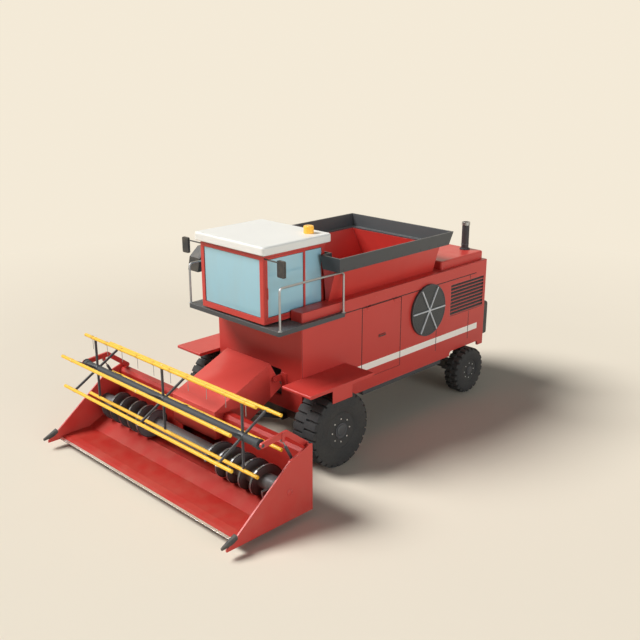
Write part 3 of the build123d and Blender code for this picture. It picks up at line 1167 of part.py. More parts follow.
EAR_THICK = 34.0
EAR_R = 62.0
with BuildPart() as feeder_ears:
    for side in SIDES:
        with BuildSketch(side_plane(side * (FEEDER_HALF + GAP + EAR_THICK / 2) + EAR_THICK / 2)):
            with Locations((FEEDER_PIVOT_X, FEEDER_PIVOT_Z)):
                Circle(EAR_R)
            with Locations(((FEEDER_PIVOT_X + BODY_FRONT) / 2, FEEDER_PIVOT_Z)):
                Rectangle(FEEDER_PIVOT_X - BODY_FRONT, 2 * EAR_R)
            with Locations((FEEDER_PIVOT_X, FEEDER_PIVOT_Z)):
                Circle(FEEDER_PIN_R + PIN_PLAY, mode=Mode.SUBTRACT)
        extrude(amount=EAR_THICK)
        with BuildSketch(rear_plane(BODY_FRONT)):
            with Locations((side * (FEEDER_HALF + FEEDER_GAP + 75), FEEDER_PIVOT_Z)):
                Rectangle(150, 2 * EAR_R + 80)
        extrude(amount=20)
feeder_ears.part.label = "feeder_ears"
export_step(feeder_ears.part, "parts/feeder_ears.step")

# ---------------------------------------------------------------------------------------------------
# Header: trough, end plates, dividers and cutter bar
# ---------------------------------------------------------------------------------------------------
TROUGH_R = AUGER_FLIGHT_R + 20
BEAM_FRONT = HEADER_BACK_X + 165


def around_auger(angle, radius):
    """X and Z on a circle about the auger's axis, with the angle counted up from +X."""
    return (AUGER_X + radius * cos(radians(angle)), AUGER_Z + radius * sin(radians(angle)))


with BuildPart() as header_frame:
    for inset, mode in ((0, Mode.ADD), (SHEET, Mode.SUBTRACT)):
        with BuildSketch(side_plane(PLATE_INNER + inset)):
            with BuildLine():
                Polyline(
                    (KNIFE_X - inset, DECK_Z - 35 - inset / 2), (LIP_X, DECK_Z - inset),
                    (AUGER_X + 430, DECK_Z - inset), around_auger(-70, TROUGH_R + inset),
                )
                ThreePointArc(around_auger(-70, TROUGH_R + inset), around_auger(-125, TROUGH_R + inset),
                              around_auger(180, TROUGH_R + inset))
                Polyline(
                    around_auger(180, TROUGH_R + inset), (BEAM_FRONT - inset, HEADER_TOP - 130),
                    (BEAM_FRONT - inset, HEADER_TOP - 55), (BEAM_FRONT - 45, HEADER_TOP - inset),
                    (HEADER_BACK_X + inset, HEADER_TOP - inset), (HEADER_BACK_X + inset, 420 + inset / 2),
                    (HEADER_BACK_X + 250, HEADER_BOTTOM + inset),
                    (KNIFE_X - 90 - inset, HEADER_BOTTOM + inset),
                    (KNIFE_X - inset, DECK_Z - 35 - inset / 2),
                )
            make_face()
        extrude(amount=2 * (PLATE_INNER + inset), mode=mode)
    # The mouth through which the feeder takes the crop
    with BuildSketch(rear_plane(HEADER_BACK_X - 50)):
        with Locations((0, 830)):
            Rectangle(2 * (FEEDER_HALF - 60), 520)
    extrude(amount=400, mode=Mode.SUBTRACT)
header_frame.part.label = "header_frame"
export_step(header_frame.part, "parts/header_frame.step")


def end_plate_outline():
    """Outline of an end plate in X and Z."""
    Polyline(
        (HEADER_BACK_X, HEADER_BOTTOM), (HEADER_BACK_X, END_PLATE_TOP),
        (HEADER_BACK_X + 60, END_PLATE_TOP), (KNEE_X, KNEE_Z),
        (NOSE_X, NOSE_Z), (NOSE_TIP_X, NOSE_TIP_Z), (NOSE_TIP_X, HEADER_BOTTOM),
        close=True,
    )


with BuildPart() as header_ends:
    for side in SIDES:
        with BuildSketch(side_plane(side * (PLATE_INNER + END_PLATE / 2) + END_PLATE / 2)):
            with BuildLine():
                end_plate_outline()
            make_face()
            with Locations((AUGER_X, AUGER_Z)):
                Circle(STUB_R + PIN_PLAY, mode=Mode.SUBTRACT)
        extrude(amount=END_PLATE)
        # Pins for the reel arm and for its lift cylinder's foot
        pin_length = PLATE_INNER - ARM_Y + 40
        for place, radius in (((ARM_PIVOT_X, ARM_PIVOT_Z), ARM_PIN_R), (REEL_LIFT_FOOT, REEL_FOOT_PIN_R)):
            with BuildSketch(side_plane(side * (PLATE_INNER - pin_length / 2) + pin_length / 2)):
                with Locations(place):
                    Circle(radius)
            extrude(amount=pin_length)
header_ends.part.label = "header_ends"
export_step(header_ends.part, "parts/header_ends.step")

DIVIDER_TIP_X = AXLE_X + HEADER_REACH
with BuildPart() as crop_dividers:
    for side in SIDES:
        base = Vector(NOSE_X + 20, side * (HEADER_WIDTH / 2 - END_PLATE / 2), NOSE_Z - 15)
        tip = Vector(DIVIDER_TIP_X, side * (HEADER_WIDTH / 2 - END_PLATE / 2), 215)
        with BuildSketch(Plane(origin=base, x_dir=(0, 1, 0), z_dir=(1, 0, 0))):
            RectangleRounded(118, 130, radius=40)
        with BuildSketch(Plane(origin=tip, x_dir=(0, 1, 0), z_dir=(1, 0, 0))):
            RectangleRounded(46, 46, radius=18)
        loft()
        with BuildSketch(side_plane(side * (HEADER_WIDTH / 2) + 100)):
            with BuildLine():
                end_plate_outline()
            make_face()
        extrude(amount=200, mode=Mode.SUBTRACT)
crop_dividers.part.label = "crop_dividers"
export_step(crop_dividers.part, "parts/crop_dividers.step")

with BuildPart() as cutter_bar:
    with BuildSketch(side_plane(PLATE_INNER)):
        with BuildLine():
            Polyline(
                (KNIFE_X, DECK_Z - 35), (KNIFE_X + 42, DECK_Z - 44), (KNIFE_X + 42, DECK_Z - 54),
                (KNIFE_X, DECK_Z - 66), (KNIFE_X - 90, HEADER_BOTTOM), (KNIFE_X, HEADER_BOTTOM + 6),
                close=True,
            )
        make_face()
    extrude(amount=2 * PLATE_INNER)
cutter_bar.part.label = "cutter_bar"
export_step(cutter_bar.part, "parts/cutter_bar.step")

# Header auger: a tube with flights that wind inward from both ends
with BuildPart() as header_auger:
    with BuildSketch(side_plane(PLATE_INNER - GAP)):
        with Locations((AUGER_X, AUGER_Z)):
            Circle(AUGER_TUBE_R)
    extrude(amount=2 * (PLATE_INNER - GAP))
    with BuildSketch(side_plane(PLATE_INNER + END_PLATE)):
        with Locations((AUGER_X, AUGER_Z)):
            Circle(STUB_R)
    extrude(amount=2 * (PLATE_INNER + END_PLATE))
    for side in SIDES:
        flight_mid = (AUGER_TUBE_R - 10 + AUGER_FLIGHT_R) / 2
        start = Plane(origin=(AUGER_X, side * AUGER_BARE, AUGER_Z), x_dir=(1, 0, 0), z_dir=(0, side, 0))
        run = AUGER_PITCH * AUGER_TURNS
        spiral = Helix(pitch=AUGER_PITCH, height=run, radius=flight_mid, lefthand=(side == LEFT))
        spiral_here = start.location * spiral
        with BuildSketch(Plane(origin=spiral_here @ 0, x_dir=start.x_dir, z_dir=spiral_here % 0)):
            Rectangle(AUGER_FLIGHT_R - AUGER_TUBE_R + 10, FLIGHT_THICK)
        sweep(path=spiral_here, is_frenet=True)
header_auger.part.label = "header_auger"
export_step(header_auger.part, "parts/header_auger.step")

# ---------------------------------------------------------------------------------------------------
# Reel: arms, shaft with three spiders, bats and tines
# ---------------------------------------------------------------------------------------------------
CHEEK_THICK = 12.0
CHEEK_WIDTH = 52.0
with BuildPart() as reel_arms:
    for side in SIDES:
        with BuildSketch(side_plane(side * ARM_Y + ARM_THICK / 2)):
            rounded_bar((ARM_PIVOT_X, ARM_PIVOT_Z), (ARM_KNEE_X, ARM_KNEE_Z), ARM_DEPTH)
            rounded_bar((ARM_KNEE_X, ARM_KNEE_Z), (REEL_X, REEL_Z), ARM_DEPTH)
            with Locations((ARM_PIVOT_X, ARM_PIVOT_Z)):
                Circle(ARM_PIN_R + PIN_PLAY, mode=Mode.SUBTRACT)
            with Locations((REEL_X, REEL_Z)):
                Circle(STUB_R + PIN_PLAY, mode=Mode.SUBTRACT)
        extrude(amount=ARM_THICK)
        # Two cheeks and a pin that take the lift cylinder's eye
        for face in (-1, 1):
            cheek_y = side * ARM_Y + face * (ARM_THICK + CHEEK_THICK) / 2
            with BuildSketch(side_plane(cheek_y + CHEEK_THICK / 2)):
                rounded_bar(REEL_LIFT_EYE, (REEL_LIFT_EYE[0], ARM_KNEE_Z), CHEEK_WIDTH)
            extrude(amount=CHEEK_THICK)
        with BuildSketch(side_plane(side * ARM_Y + ARM_THICK / 2 + CHEEK_THICK)):
            with Locations(REEL_LIFT_EYE):
                Circle(REEL_EYE_PIN_R)
        extrude(amount=ARM_THICK + 2 * CHEEK_THICK)
reel_arms.part.label = "reel_arms"
export_step(reel_arms.part, "parts/reel_arms.step")

HUB_R = 76.0
HUB_LENGTH = 120.0
SPOKE_WIDTH = 42.0
SPOKE_THICK = 24.0
BAT_ANGLES = [90 + index * 360 / BAT_COUNT for index in range(BAT_COUNT)]


def bat_centre(angle):
    """X and Z of the bat that stands at this angle, counted up from +X."""
    return (REEL_X + REEL_R * cos(radians(angle)), REEL_Z + REEL_R * sin(radians(angle)))


with BuildPart() as reel_shaft:
    shaft_end = ARM_Y - ARM_THICK / 2 - GAP
    with BuildSketch(side_plane(shaft_end)):
        with Locations((REEL_X, REEL_Z)):
            Circle(REEL_TUBE_R)
    extrude(amount=2 * shaft_end)
    with BuildSketch(side_plane(ARM_Y + ARM_THICK / 2)):
        with Locations((REEL_X, REEL_Z)):
            Circle(STUB_R)
    extrude(amount=2 * ARM_Y + ARM_THICK)
    for y in (-SPIDER_Y, 0, SPIDER_Y):
        with BuildSketch(side_plane(y + HUB_LENGTH / 2)):
            with Locations((REEL_X, REEL_Z)):
                Circle(HUB_R)
        extrude(amount=HUB_LENGTH)
        for angle in BAT_ANGLES:
            reach = REEL_R - BAT_R
            with BuildSketch(side_plane(y + SPOKE_THICK / 2)):
                with Locations(Location((REEL_X, REEL_Z), angle) * Location((reach / 2, 0))):
                    Rectangle(reach, SPOKE_WIDTH)
            extrude(amount=SPOKE_THICK)
reel_shaft.part.label = "reel_shaft"
export_step(reel_shaft.part, "parts/reel_shaft.step")

with BuildPart() as reel_bats:
    with BuildSketch(side_plane(BAT_HALF)):
        with Locations([bat_centre(angle) for angle in BAT_ANGLES]):
            Circle(BAT_R)
    extrude(amount=2 * BAT_HALF)
reel_bats.part.label = "reel_bats"
export_step(reel_bats.part, "parts/reel_bats.step")

# Spring tines that hang from the top bat
TINE_COUNT = 10
TINE_LENGTH = 200.0
TINE_R = 5.0
with BuildPart() as reel_tines:
    top_x, top_z = bat_centre(90)
    with BuildSketch(Plane.XY.offset(top_z - BAT_R - TINE_LENGTH)):
        with Locations((top_x, 0)):
            with GridLocations(0, 2 * BAT_HALF / TINE_COUNT, 1, TINE_COUNT):
                Circle(TINE_R)
    extrude(amount=TINE_LENGTH + BAT_R / 2)
    with BuildSketch(side_plane(BAT_HALF)):
        with Locations((top_x, top_z)):
            Circle(BAT_R)
    extrude(amount=2 * BAT_HALF, mode=Mode.SUBTRACT)
reel_tines.part.label = "reel_tines"
export_step(reel_tines.part, "parts/reel_tines.step")

# ---------------------------------------------------------------------------------------------------
# Lift cylinders, a pair under the feeder and a pair under the reel arms
# ---------------------------------------------------------------------------------------------------
# name, y of the left one, foot, eye, barrel radius, rod radius, foot pin radius, eye pin radius
CYLINDERS = (
    ("header_lift", LIFT_Y, LIFT_FOOT, LIFT_EYE,
     LIFT_BARREL_R, LIFT_ROD_R, LIFT_FOOT_PIN_R, LIFT_EYE_PIN_R),
    ("reel_lift", ARM_Y, REEL_LIFT_FOOT, REEL_LIFT_EYE,
     REEL_BARREL_R, REEL_ROD_R, REEL_FOOT_PIN_R, REEL_EYE_PIN_R),
)
EYE_PLAY = 9.0
for name, y, foot, eye, barrel_r, rod_r, foot_r, eye_r in CYLINDERS:
    length = hypot(eye[0] - foot[0], eye[1] - foot[1])
    line = ((eye[0] - foot[0]) / length, (eye[1] - foot[1]) / length)
    barrel_end = 0.66 * length
    eye_width = 1.3 * barrel_r
    barrel_start = foot_r + 40
    bore_start = barrel_start + 30
    with BuildPart() as barrels:
        for side in SIDES:
            across = Plane(origin=(foot[0], side * y, foot[1]), x_dir=(0, 1, 0), z_dir=(line[0], 0, line[1]))
            with BuildSketch(across):
                Rectangle(eye_width, 1.4 * barrel_r)
            extrude(amount=barrel_start + 1)
            with BuildSketch(across.offset(barrel_start)):
                Circle(barrel_r)
            extrude(amount=barrel_end - barrel_start)
            with BuildSketch(across.offset(bore_start)):
                Circle(rod_r + PIN_PLAY)
            extrude(amount=length, mode=Mode.SUBTRACT)
            with BuildSketch(side_plane(side * y + eye_width / 2)):
                with Locations(foot):
                    Circle(foot_r + 17)
            extrude(amount=eye_width)
            with BuildSketch(side_plane(side * y + 2 * barrel_r)):
                with Locations(foot):
                    Circle(foot_r + PIN_PLAY)
            extrude(amount=4 * barrel_r, mode=Mode.SUBTRACT)
    barrels.part.label = f"{name}_barrels"
    export_step(barrels.part, f"parts/{name}_barrels.step")

    eye_r_outer = eye_r + EYE_PLAY + 12
    with BuildPart() as rods:
        for side in SIDES:
            across = Plane(origin=(foot[0], side * y, foot[1]), x_dir=(0, 1, 0), z_dir=(line[0], 0, line[1]))
            with BuildSketch(across.offset(bore_start + 40)):
                Circle(rod_r)
            extrude(amount=length - bore_start - 40)
            with BuildSketch(side_plane(side * y + 0.6 * barrel_r)):
                with Locations(eye):
                    Circle(eye_r_outer)
            extrude(amount=1.2 * barrel_r)
            with BuildSketch(side_plane(side * y + 2 * barrel_r)):
                with Locations(eye):
                    Circle(eye_r + EYE_PLAY)
            extrude(amount=4 * barrel_r, mode=Mode.SUBTRACT)
    rods.part.label = f"{name}_rods"
    export_step(rods.part, f"parts/{name}_rods.step")
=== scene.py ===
"""Looks of the combine harvester: its finishes, tyres, trim, seat, knife and tank screw, and its studio.

Metres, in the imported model's frame: +X is forward, +Y the driver's left, +Z up.
"""
from __future__ import annotations

import json
import logging
from collections.abc import Sequence
from dataclasses import dataclass
from enum import Enum
from math import ceil, cos, pi, radians, sin, tau

import bmesh
import bpy
from mathutils import Matrix, Vector


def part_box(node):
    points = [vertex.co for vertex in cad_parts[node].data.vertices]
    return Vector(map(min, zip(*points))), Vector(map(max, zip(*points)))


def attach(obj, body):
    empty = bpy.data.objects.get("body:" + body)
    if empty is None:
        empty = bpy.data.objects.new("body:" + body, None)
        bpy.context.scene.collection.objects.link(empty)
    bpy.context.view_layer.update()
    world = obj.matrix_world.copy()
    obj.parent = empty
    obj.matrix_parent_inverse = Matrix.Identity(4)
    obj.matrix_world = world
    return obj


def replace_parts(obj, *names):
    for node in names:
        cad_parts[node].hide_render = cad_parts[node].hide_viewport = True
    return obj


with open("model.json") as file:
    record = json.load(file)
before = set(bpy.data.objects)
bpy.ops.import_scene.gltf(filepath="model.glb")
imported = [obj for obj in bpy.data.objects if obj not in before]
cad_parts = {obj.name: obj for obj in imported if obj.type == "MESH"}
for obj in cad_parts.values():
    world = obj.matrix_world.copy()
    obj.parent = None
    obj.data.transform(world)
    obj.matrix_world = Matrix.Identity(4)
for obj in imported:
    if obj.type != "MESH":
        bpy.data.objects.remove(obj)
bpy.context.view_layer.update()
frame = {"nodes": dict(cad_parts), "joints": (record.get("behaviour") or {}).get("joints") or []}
LOG = logging.getLogger("harvester")

Colour = tuple[float, float, float]
Point = tuple[float, float, float]
Range = tuple[float, float]
Span = tuple[Vector, Vector]
FAR = 100.0  # a bound that no part of the machine reaches
FORWARD = Vector((1.0, 0.0, 0.0))
LEFTWARD = Vector((0.0, 1.0, 0.0))
UP = Vector((0.0, 0.0, 1.0))
DOWN = Vector((0.0, 0.0, -1.0))
BLACK = (0.0, 0.0, 0.0)
WHITE = (1.0, 1.0, 1.0)


class Side(Enum):
    """The machine's two sides, with the sign of Y on each."""

    LEFT = 1
    RIGHT = -1

    @property
    def word(self) -> str:
        """The side's name as it stands in the names of nodes."""
        return self.name.lower()

    @property
    def way(self) -> Vector:
        """The way out from the machine's middle on this side."""
        return Vector((0.0, self.value, 0.0))


def seen(red: float, green: float, blue: float) -> Colour:
    """Turns a colour as the eye reads it, from 0 to 1, into the linear one that shaders take."""
    return tuple(c / 12.92 if c <= 0.04045 else ((c + 0.055) / 1.055) ** 2.4 for c in (red, green, blue))


def mixed(first: Colour, second: Colour, share: float) -> Colour:
    """A colour between two others, with the given share of the second."""
    return tuple(a + (b - a) * share for a, b in zip(first, second))


def spread(low: float, high: float, count: int) -> list[float]:
    """Evenly spaced numbers from low to high."""
    return [low + (high - low) * index / (count - 1) for index in range(count)]


# ---- Shader graphs ----
class Value:
    """A node's output that takes part in Python expressions."""

    def __init__(self, graph: Graph, output: bpy.types.NodeSocket) -> None:
        """Wraps one output of a node in graph."""
        self.graph = graph
        self.output = output

    def _math(self, operation: str, first: Value | float, second: Value | float = 0.0) -> Value:
        """Adds a Math node on one or two numbers."""
        return self.graph.node("ShaderNodeMath", {"operation": operation}, {0: first, 1: second})

    def __add__(self, other: Value | float) -> Value:
        """self + other."""
        return self._math("ADD", self, other)

    __radd__ = __add__

    def __sub__(self, other: Value | float) -> Value:
        """self - other."""
        return self._math("SUBTRACT", self, other)

    def __rsub__(self, other: float) -> Value:
        """other - self."""
        return self._math("SUBTRACT", other, self)

    def __mul__(self, other: Value | float) -> Value:
        """self * other."""
        return self._math("MULTIPLY", self, other)

    __rmul__ = __mul__

    def __pow__(self, other: Value | float) -> Value:
        """self ** other."""
        return self._math("POWER", self, other)

    def __rpow__(self, other: float) -> Value:
        """other ** self."""
        return self._math("POWER", other, self)

    def __gt__(self, other: Value | float) -> Value:
        """1 where self is over other; Python turns a number < self into this."""
        return self._math("GREATER_THAN", self, other)

    def __lt__(self, other: Value | float) -> Value:
        """1 where self is under other; Python turns a number > self into this."""
        return self._math("LESS_THAN", self, other)

    def __neg__(self) -> Value:
        """-self."""
        return self._math("MULTIPLY", self, -1.0)

    def __abs__(self) -> Value:
        """The value without its sign."""
        return self._math("ABSOLUTE", self)

    def wave(self, length: float) -> Value:
        """A sine of self that repeats every length, from -1 to 1."""
        return self._math("SINE", self * (tau / length))

    def between(self, low: float, high: float) -> Value:
        """Rises from 0 at low to 1 at high, and stays there beyond them."""
        return self.graph.node("ShaderNodeMapRange", {"clamp": True}, {0: self, 1: low, 2: high})


Inputs = dict[int | str, Value | float | Colour]


class Graph:
    """The nodes of one material or world, made by expressions."""

    def __init__(self, holder: bpy.types.Material | bpy.types.World) -> None:
        """Empties the node tree of a material or world.

        Args:
            holder: The material or world whose nodes are to be made.
        """
        holder.use_nodes = True
        self.holder = holder
        self.tree = holder.node_tree
        self.tree.nodes.clear()

    def add(self, kind: str, settings: dict[str, object] | None = None,
            inputs: Inputs | None = None) -> bpy.types.Node:
        """Adds any node.

        Args:
            kind: The node's type, as Blender names it.
            settings: Values of its properties, which are set first.
            inputs: For each input by place or name, a Value to link or a plain number, point or colour.

        Returns:
            The node.
        """
        made = self.tree.nodes.new(kind)
        for name, setting in (settings or {}).items():
            setattr(made, name, setting)
        for key, given in (inputs or {}).items():
            socket = made.inputs[key]
            if isinstance(given, Value):
                self.tree.links.new(given.output, socket)
            elif isinstance(given, tuple) and len(socket.default_value) == len(given) + 1:
                socket.default_value = (*given, 1.0)
            else:
                socket.default_value = given
        return made

    def node(self, kind: str, settings: dict[str, object] | None = None, inputs: Inputs | None = None,
             output: int | str = 0) -> Value:
        """Adds any node, as add does, and takes the wanted one of its outputs."""
        return Value(self, self.add(kind, settings, inputs).outputs[output])

    def place(self) -> Value:
        """Where a point lies in the machine's frame with every joint at rest, in metres."""
        return self.node("ShaderNodeTexCoord", output="Object")

    def split(self, vector: Value) -> tuple[Value, Value, Value]:
        """The three parts of a vector."""
        node = self.add("ShaderNodeSeparateXYZ", inputs={0: vector})
        return tuple(Value(self, part) for part in node.outputs)

    def mix(self, share: Value | float, first: Value | Colour, second: Value | Colour) -> Value:
        """A colour between two others, with the given share of the second."""
        return self.node("ShaderNodeMix", {"data_type": "RGBA"}, {0: share, 6: first, 7: second}, output=2)

    def grain(self, size: float, detail: float = 3.0, stretch: Point = (1.0, 1.0, 1.0)) -> Value:
        """Noise, mostly between 0.25 and 0.75.

        Args:
            size: How wide its spots are.
            detail: How many finer layers lie on them.
            stretch: How many times longer they are along each axis.

        Returns:
            The noise.
        """
        squeezed = tuple(1.0 / part for part in stretch)
        where = self.node("ShaderNodeVectorMath", {"operation": "MULTIPLY"}, {0: self.place(), 1: squeezed})
        inputs = {"Vector": where, "Scale": 1.0 / size, "Detail": detail}
        return self.node("ShaderNodeTexNoise", inputs=inputs)

    def cells(self, size: float) -> Value:
        """Distance to the middle of cells that are size metres across, from 0 to about 1."""
        return self.node("ShaderNodeTexVoronoi", inputs={"Vector": self.place(), "Scale": 1.0 / size})

    def edges(self, radius: float) -> Value:
        """A mask of the edges, outer and inner.

        Args:
            radius: How far from an edge it reaches.

        Returns:
            1 along the edges and 0 on flat faces.
        """
        flat = self.node("ShaderNodeNewGeometry", output="Normal")
        along = self.node("ShaderNodeVectorMath", {"operation": "DOT_PRODUCT"},
                          {0: self.rounded(radius), 1: flat}, output="Value")
        return (1.0 - along).between(0.02, 0.22)

    def rounded(self, radius: float) -> Value:
        """The surface's normal with its edges rounded by radius in metres."""
        return self.node("ShaderNodeBevel", {"samples": 4}, {"Radius": radius})

    def bump(self, height: Value, depth: float, under: Value | None = None) -> Value:
        """A normal that raised and sunk places turn.

        Args:
            height: The relief, from 0 to 1.
            depth: How high a relief of 1 stands, in metres.
            under: The normal that it lies on, or None for the surface's own.

        Returns:
            The turned normal.
        """
        inputs = {"Strength": 1.0, "Distance": depth, "Height": height}
        if under is not None:
            inputs["Normal"] = under
        return self.node("ShaderNodeBump", inputs=inputs)

    def close(self, shader: Value) -> bpy.types.Material | bpy.types.World:
        """Ends the graph.

        Args:
            shader: The finished shader.

        Returns:
            The material or world that the graph belongs to.
        """
        kind = "World" if isinstance(self.holder, bpy.types.World) else "Material"
        self.add(f"ShaderNodeOutput{kind}", inputs={"Surface": shader})
        return self.holder


# ---- Second colours on a part that is one piece of metal ----
@dataclass(frozen=True)
class BoxMark:
    """Another colour inside a box of the machine's frame, on both sides of it if mirrored."""

    low: Point
    high: Point
    colour: Colour
    roughness: float = 0.4
    metallic: float = 0.0
    mirrored: bool = False

    def mask(self, graph: Graph) -> Value:
        """Where the mark is.

        Args:
            graph: The paint's graph.

        Returns:
            1 inside the box and 0 outside it.
        """
        x, y, z = graph.split(graph.place())
        inside: Value | float = 1.0
        for along, low, high in zip((x, abs(y) if self.mirrored else y, z), self.low, self.high):
            if low > -FAR:
                inside = inside * (along > low)
            if high < FAR:
                inside = inside * (along < high)
        return inside


@dataclass(frozen=True)
class RadiusMark:
    """Another colour where a point is between two distances from a line that runs along Y."""

    x: float
    z: float
    inner: float
    outer: float
    colour: Colour
    roughness: float = 0.4
    metallic: float = 0.0
    blur: float = 0.004  # half the width of the inner edge's fade
    wander: float = 0.012  # how far wear moves that edge

    def mask(self, graph: Graph) -> Value:
        """Where the mark is.

        Args:
            graph: The paint's graph.

        Returns:
            1 between the two radii, with a soft worn inner edge, and 0 elsewhere.
        """
        x, _, z = graph.split(graph.place())
        away = ((x - self.x) ** 2.0 + (z - self.z) ** 2.0) ** 0.5
        worn = away + (graph.grain(0.05) - 0.5) * self.wander
        return worn.between(self.inner - self.blur, self.inner + self.blur) * (away < self.outer)


# ---- Finishes ----
DUST = seen(0.72, 0.65, 0.54)


@dataclass(frozen=True)
class Finish:
    """Something a surface is made of or coated with, kept once in the file under its name."""

    name: str

    def material(self) -> bpy.types.Material:
        """The finish's material, which is made the first time it is asked for.

        Returns:
            The material.
        """
        known = bpy.data.materials.get(self.name)
        if known:
            return known
        graph = Graph(bpy.data.materials.new(self.name))
        return graph.close(graph.node("ShaderNodeBsdfPrincipled", inputs=self.inputs(graph)))

    def inputs(self, graph: Graph) -> Inputs:
        """What the finish gives its shader.

        Args:
            graph: The material's empty graph.

        Returns:
            A value for each input of the Principled shader that it sets.
        """
        raise NotImplementedError


@dataclass(frozen=True)
class Paint(Finish):
    """Sprayed paint over sheet metal: mottled, orange-peeled, lighter at its edges as wear and a painted
    highlight, and dusty low down.
    """

    colour: Colour
    roughness: float = 0.38
    coat: float = 0.06
    specular: float = 0.42
    mottle: float = 0.05
    edge_width: float = 0.007
    # how much lighter the edges are: wear and a painted highlight
    edge_wear_and_highlight: float = 0.35
    dust: float = 0.10
    dust_foot: float = 0.1  # heights between which the dust thins out
    dust_top: float = 1.2
    peel_size: float = 0.012
    peel_depth: float = 0.0004
    marks: tuple[BoxMark | RadiusMark, ...] = ()

    def inputs(self, graph: Graph) -> Inputs:
        """Paint with its marks, if it has any.

        Args:
            graph: The material's empty graph.

        Returns:
            The Principled shader's inputs.
        """
        _, _, height = graph.split(graph.place())
        cloudy = graph.grain(0.7).between(0.35, 0.65) * self.mottle
        shade = graph.mix(cloudy, self.colour, mixed(self.colour, BLACK, 0.5))
        rough: Value | float = self.roughness + (graph.grain(0.18) - 0.5) * 0.16
        metal: Value | float = 0.0
        for mark in self.marks:
            mask = mark.mask(graph)
            shade = graph.mix(mask, shade, mark.colour)
            rough = rough + mask * (mark.roughness - self.roughness)
            if mark.metallic:
                metal = mask * mark.metallic + metal
        # edges lightened towards white: partly wear, partly a painted highlight
        rubbed = graph.edges(self.edge_width) * self.edge_wear_and_highlight
        shade = graph.mix(rubbed, shade, mixed(self.colour, WHITE, 0.35))
        low_down = 1.0 - height.between(self.dust_foot, self.dust_top)
        settled = low_down * graph.grain(0.35, 5.0).between(0.38, 0.68) * self.dust
        shade = graph.mix(settled, shade, DUST)
        peel = graph.bump(graph.grain(self.peel_size, 2.0), self.peel_depth, graph.rounded(self.edge_width))
        return {"Base Color": shade, "Roughness": rough + settled * 0.5, "Metallic": metal,
                "Specular IOR Level": self.specular, "Coat Weight": self.coat, "Coat Roughness": 0.2,
                "Normal": peel}


@dataclass(frozen=True)
class Rubber(Finish):
    """Tyre rubber: dark, slightly dusty, with moulded grain and darker furrows."""

    colour: Colour
    dust: float = 0.05
    roughness: float = 0.78

    def inputs(self, graph: Graph) -> Inputs:
        """Rubber with dust rubbed into its grain.

        Args:
            graph: The material's empty graph.

        Returns:
            The Principled shader's inputs.
        """
        speck = graph.grain(0.03, 6.0)
        shade = graph.mix(graph.grain(0.25, 4.0).between(0.4, 0.62) * self.dust, self.colour, DUST)
        shade = graph.mix(speck.between(0.5, 0.75) * 0.25, shade, mixed(self.colour, BLACK, 0.6))
        return {"Base Color": shade, "Roughness": self.roughness + (speck - 0.5) * 0.3,
                "Normal": graph.bump(graph.grain(0.006, 4.0), 0.0012, graph.rounded(0.005))}


@dataclass(frozen=True)
class Steel(Finish):
    """Bare or plated steel, brushed along one way, with faint stains."""

    colour: Colour
    roughness: float = 0.32
    brushed: Point = (1.0, 12.0, 1.0)
    stain: float = 0.15

    def inputs(self, graph: Graph) -> Inputs:
        """Steel with its brush marks.

        Args:
            graph: The material's empty graph.

        Returns:
            The Principled shader's inputs.
        """
        lines = graph.grain(0.004, 3.0, self.brushed)
        stains = graph.grain(0.12, 5.0).between(0.45, 0.7)
        shade = graph.mix(stains * self.stain, self.colour, mixed(self.colour, seen(0.35, 0.27, 0.2), 0.6))
        rough = self.roughness + (lines - 0.5) * 0.25 + stains * 0.12
        return {"Base Color": shade, "Metallic": 1.0, "Roughness": rough,
                "Normal": graph.bump(lines, 0.0003, graph.rounded(0.003))}


@dataclass(frozen=True)
class Chrome(Finish):
    """Hard chrome on a cylinder's rod, with a thin film of oil."""

    colour: Colour
    oil: Colour
    roughness: float = 0.18

    def inputs(self, graph: Graph) -> Inputs:
        """Chrome whose oil film varies its gloss.

        Args:
            graph: The material's empty graph.

        Returns:
            The Principled shader's inputs.
        """
        film = graph.grain(0.08, 3.0, (3.0, 1.0, 3.0)).between(0.4, 0.7)
        return {"Base Color": graph.mix(film * 0.3, self.colour, self.oil), "Metallic": 1.0,
                "Roughness": self.roughness + film * 0.14}


@dataclass(frozen=True)
class Casting(Finish):
    """Painted cast iron: coarse under its paint, with dust in its hollows."""

    colour: Colour
    bare: Colour = seen(0.45, 0.45, 0.45)
    roughness: float = 0.5

    def inputs(self, graph: Graph) -> Inputs:
        """A sand-cast skin under dark paint, rubbed bare at its edges.

        Args:
            graph: The material's empty graph.

        Returns:
            The Principled shader's inputs.
        """
        skin = graph.grain(0.008, 5.0)
        shade = graph.mix(graph.grain(0.3, 4.0).between(0.42, 0.66) * 0.22, self.colour, DUST)
        shade = graph.mix(graph.edges(0.006) * 0.3, shade, self.bare)
        return {"Base Color": shade, "Roughness": self.roughness + skin * 0.25,
                "Normal": graph.bump(skin, 0.0014, graph.rounded(0.008))}


@dataclass(frozen=True)
class Plastic(Finish):
    """Moulded plastic with a fine leather-like grain and slightly polished edges."""

    colour: Colour
    roughness: float = 0.5
    grain_size: float = 0.003

    def inputs(self, graph: Graph) -> Inputs:
        """Grained plastic.

        Args:
            graph: The material's empty graph.

        Returns:
            The Principled shader's inputs.
        """
        shade = graph.mix(graph.grain(0.2, 3.0).between(0.4, 0.7) * 0.12, self.colour, DUST)
        worn = graph.edges(0.004)
        shade = graph.mix(worn * 0.25, shade, mixed(self.colour, WHITE, 0.3))
        return {"Base Color": shade, "Roughness": self.roughness - worn * 0.12,
                "Normal": graph.bump(graph.cells(self.grain_size), 0.0003, graph.rounded(0.006))}


